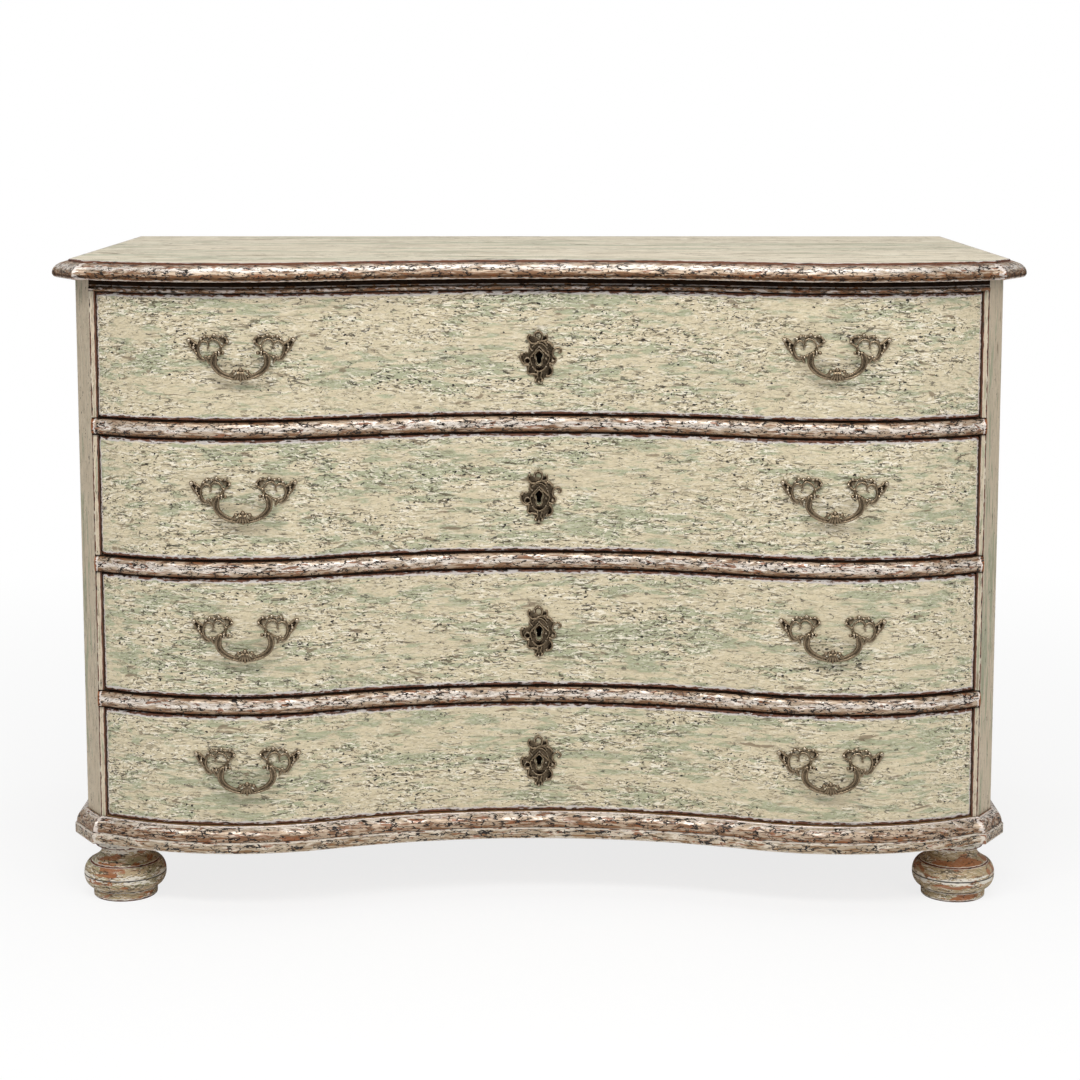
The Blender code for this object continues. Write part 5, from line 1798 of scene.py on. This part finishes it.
@dataclass
class Drawer:
    """One drawer: its bowed front, box, lock, keyhole plate and two handles."""

    number: int
    plan: Plan
    palette: Palette
    keyhole_plate: bpy.types.Mesh
    handle_plate: bpy.types.Mesh
    handle_bail: bpy.types.Mesh
    thickness: float = 0.024
    handle_x: float = 0.385
    eye_above_middle: float = 0.008
    keyhole_below_middle: float = 0.007
    seat_gap: float = 0.0003
    edge_radius: float = 0.0022
    edge_chipped: float = 0.0050
    edge_whole: float = 0.0085
    back_chamfer: float = 0.0045
    cutter_before: float = 0.1
    cutter_length: float = 0.3
    corner_steps: tuple[float, ...] = (0.0040, 0.0026, 0.0014, 0.0005, 0.0)
    body: str = field(init=False)

    def __post_init__(self) -> None:
        """Name the body that the drawer rides on."""
        self.body = f"drawer_{self.number}"

    def front(self) -> None:
        """Build the drawer's front, with rounded, rubbed edges and its keyhole."""
        low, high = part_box(f"{self.body}_front")
        height = high.z - low.z
        radius = self.edge_radius
        chipped, whole, back = self.edge_chipped, self.edge_whole, self.back_chamfer
        # The last number darkens the back and the edges next to the gaps above and below: painted shade with
        # dirt.
        section: list[Corner] = [(-self.thickness, 0.0, 0.0, 0.4), (-back, 0.0, 0.5, 1.0)]
        section += rounded((-radius, radius), (radius, radius), -90, 0, 5, 0.78, (0.9, 0.1))
        section += [
            (0.0, chipped, 0.42, 0.1), (0.0, whole, 0.0, 0.0), (0.0, height / 2, 0.0, 0.0),
            (0.0, height - whole, 0.0, 0.0), (0.0, height - chipped, 0.42, 0.1),
        ]
        section += rounded((-radius, height - radius), (radius, radius), 0, 90, 5, 0.75, (0.1, 0.7))
        section += [(-back, height, 0.5, 1.0), (-self.thickness, height, 0.0, 0.4)]
        places = self.plan.front(low.z, flat_ends=True, near_end=(0.0055, *self.corner_steps))
        corner = self.corner_steps[0]
        level = low.z + height / 2
        for number, distance in enumerate(reversed(self.corner_steps)):
            inset = corner - math.sqrt(corner ** 2 - (corner - distance) ** 2)
            squeeze = Matrix.Diagonal((1.0, 1.0, 1.0 - 2.0 * inset / height, 1.0))
            squeeze = Matrix.Translation((0, 0, level)) @ squeeze @ Matrix.Translation((0, 0, -level))
            drawn_in = Matrix.Translation((-0.6 * inset, 0.0, 0.0))
            wear = 0.9 - distance / corner * 0.6
            for place in (number, -1 - number):
                places[place] = Place(squeeze @ places[place].matrix @ drawn_in, wear)
        builder = bmesh.new()
        sweep(builder, section, places)
        mesh = finish_mesh(builder, f"{self.body}_front_board", 35)
        board = linked("board", mesh)
        builder = bmesh.new()
        middle = low.z + height / 2 - self.keyhole_below_middle
        y = self.plan.end_plane_y - self.cutter_before
        corners = [
            builder.verts.new((x * MM, y, middle + z * MM)) for x, z in KeyholePattern().keyhole(0.0)
        ]
        thickened(builder, [builder.faces.new(corners)], (0, self.cutter_length, 0))
        cutter = linked("cutter", finish_mesh(builder, "cutter"))
        cut = board.modifiers.new("keyhole", "BOOLEAN")
        cut.operation, cut.solver, cut.object = "DIFFERENCE", "EXACT", cutter
        mesh = applied(board, f"{self.body}_front_board")
        bpy.data.objects.remove(cutter)
        put(
            f"{self.body}_bowed_front", mesh, self.palette["drawer"], self.body,
            (f"{self.body}_front",),
        )

    def seated(
        self, name: str, casting: bpy.types.Mesh, place: Matrix, body: str, node: str
    ) -> None:
        """Seat a copy of a bronze casting, turned right side out again where it is mirrored.

        Args:
            name: Name of the piece.
            casting: The casting.
            place: Where it goes.
            body: The body that it moves with.
            node: CAD node that it stands for.
        """
        mesh = casting.copy()
        mesh.transform(place)
        if place.is_negative:
            mesh.flip_normals()
        put(name, mesh, self.palette["bronze"], body, (node,))

    def keyhole(self) -> None:
        """Seat the keyhole plate in the hollow of the front."""
        low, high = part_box(f"{self.body}_front")
        middle = (low.z + high.z) / 2 - self.keyhole_below_middle
        place = Matrix.Translation((0.0, self.plan.end_plane_y + self.plan.hollow_depth, middle))
        name = f"{self.body}_keyhole_plate"
        self.seated(name, self.keyhole_plate, place, self.body, f"{self.body}_escutcheon")

    def handles(self) -> None:
        """Seat both handles on the bulges."""
        plan = self.plan
        low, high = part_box(f"{self.body}_front")
        z = (low.z + high.z) / 2 + self.eye_above_middle
        lean = math.asin((self.handle_x - plan.bulge_x) / plan.bulge_radius)
        y = plan.end_plane_y - plan.bulge_rise + plan.bulge_radius * (1 - math.cos(lean))
        mirror = Matrix.Scale(-1.0, 4, Vector((1.0, 0.0, 0.0)))
        for word, side in (("left", -1.0), ("right", 1.0)):
            prefix = f"{self.body}_{word}_handle"
            seat = Matrix.Translation((side * self.handle_x, y, z))
            seat = seat @ Matrix.Rotation(side * lean, 4, "Z")
            place = seat @ Matrix.Translation((0.0, -self.seat_gap, 0.0))
            for hand, turned in (("left", place @ mirror), ("right", place)):
                name, node = f"{prefix}_{hand}_scroll", f"{prefix}_{hand}_plate"
                self.seated(name, self.handle_plate, turned, self.body, node)
            place = seat @ Matrix.Translation((0.0, -HandlePattern.eye_out * MM, 0.0))
            bail = f"{prefix}_bail"
            self.seated(f"{prefix}_drop", self.handle_bail, place, bail, bail)

    def build(self) -> None:
        """Build the whole drawer."""
        self.front()
        self.keyhole()
        self.handles()
        dress(f"{self.body}_box", self.palette["pine_y"])
        dress(f"{self.body}_bottom", self.palette["pine_x"])
        dress(f"{self.body}_lock", self.palette["iron"])


@dataclass(frozen=True)
class Softbox:
    """A soft lamp: its name, where it hangs, what it points at, its sides and its power in watts."""

    name: str
    place: tuple[float, float, float]
    target: tuple[float, float, float]
    width: float
    height: float
    power: float

    def hang(self) -> None:
        """Hang the softbox."""
        data = bpy.data.lights.new(self.name, "AREA")
        data.shape = "RECTANGLE"
        data.size, data.size_y = self.width, self.height
        data.energy = self.power
        lamp = linked(self.name, data)
        lamp.location = self.place
        way = Vector(self.target) - Vector(self.place)
        lamp.rotation_euler = way.to_track_quat("-Z", "Y").to_euler()


@dataclass
class Studio:
    """White floor and background, three soft lamps and the camera."""

    camera_place: tuple[float, float, float] = (0.0098, -3.4662, 1.0598)
    pitch_degrees: float = 7.494
    yaw_degrees: float = 0.152
    lens: float = 81.58
    shift_up: float = -0.1
    background: str = "#ffffff"
    air_strength: float = 0.42
    floor_half: float = 12.0
    shadow_reach: tuple[float, float] = (0.8, 2.4)
    shadow_veil: float = 0.8
    softboxes: tuple[Softbox, ...] = (
        Softbox("key_softbox", (-0.5, -2.6, 3.0), (0.0, -0.2, 0.5), 3.4, 0.6, 78.0),
        Softbox("fill_softbox", (1.9, -2.9, 2.2), (0.0, -0.2, 0.5), 1.6, 1.6, 26.0),
        Softbox("top_softbox", (0.0, 0.2, 3.2), (0.0, 0.0, 0.8), 2.2, 2.2, 26.0),
    )

    def camera(self) -> None:
        """Place the camera where the photograph was taken from."""
        data = bpy.data.cameras.new("camera")
        data.lens = self.lens
        data.sensor_width = 36.0
        data.shift_y = self.shift_up
        data.clip_end = 50.0
        camera = linked("camera", data)
        camera.location = self.camera_place
        camera.rotation_euler = (
            math.radians(90.0 - self.pitch_degrees), 0.0, math.radians(self.yaw_degrees)
        )
        bpy.context.scene.camera = camera

    def floor(self) -> None:
        """Lay a white floor that keeps only the chest's shadow."""
        builder = bmesh.new()
        bmesh.ops.create_grid(builder, x_segments=2, y_segments=2, size=self.floor_half)
        mesh = finish_mesh(builder, "floor")
        material = bpy.data.materials.new("white_paper_floor")
        book = NodeBook(material)
        paper = book.shade(Base_Color=linear("#f2f2f2"), Roughness=0.9)
        shader = book.tree.nodes["Principled BSDF"].outputs[0]
        place = book.add(COORD, out="Object")
        away = book.add(VECTOR, {0: place}, "Value", operation="LENGTH")
        near, far = self.shadow_reach
        veil = book.add(RANGE, {0: away, 1: near, 2: far, 3: self.shadow_veil})
        camera = book.add("ShaderNodeLightPath", out="Is Camera Ray")
        share = book.add(MATH, {0: veil, 1: camera}, operation="MULTIPLY")
        glow = book.add("ShaderNodeEmission", {"Color": linear(self.background), "Strength": 1.0})
        both = book.add("ShaderNodeMixShader", {0: share, 1: shader, 2: glow})
        output = paper.node_tree.nodes["Material Output"]
        book.tree.links.new(both, output.inputs["Surface"])
        mesh.materials.append(material)
        linked("floor", mesh)

    def world(self) -> None:
        """Light the air evenly, and show the camera and clear surfaces a white background."""
        world = bpy.data.worlds.new("studio")
        book = NodeBook(world)
        book.tree.nodes.clear()
        camera = book.add("ShaderNodeLightPath", out="Is Camera Ray")
        clear = camera.node.outputs["Is Transmission Ray"]
        seen = book.add(MATH, {0: camera, 1: clear}, operation="MAXIMUM")
        white = linear(self.background)
        air = book.add("ShaderNodeBackground", {"Color": white, "Strength": self.air_strength})
        back = book.add("ShaderNodeBackground", {"Color": white, "Strength": 1.0})
        both = book.add("ShaderNodeMixShader", {0: seen, 1: air, 2: back})
        book.add("ShaderNodeOutputWorld", {"Surface": both})
        bpy.context.scene.world = world

    def build(self) -> None:
        """Set up the whole studio."""
        self.camera()
        self.floor()
        for softbox in self.softboxes:
            softbox.hang()
        self.world()
        bpy.context.scene.view_settings.view_transform = "Standard"


def main() -> None:
    """Build the chest in order, the case first, then the drawers and the studio."""
    logging.basicConfig(level=logging.INFO, format="%(name)s: %(message)s")
    plan = Plan()
    palette = Palette(Finishes())
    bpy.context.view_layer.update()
    Case(plan, palette).build()
    keyhole_plate = KeyholePattern().plate()
    handle = HandlePattern()
    handle_plate, handle_bail = handle.plate(), handle.bail()
    for number in (1, 2, 3, 4):
        Drawer(number, plan, palette, keyhole_plate, handle_plate, handle_bail).build()
    Studio().build()


if __name__ == "__main__":
    main()
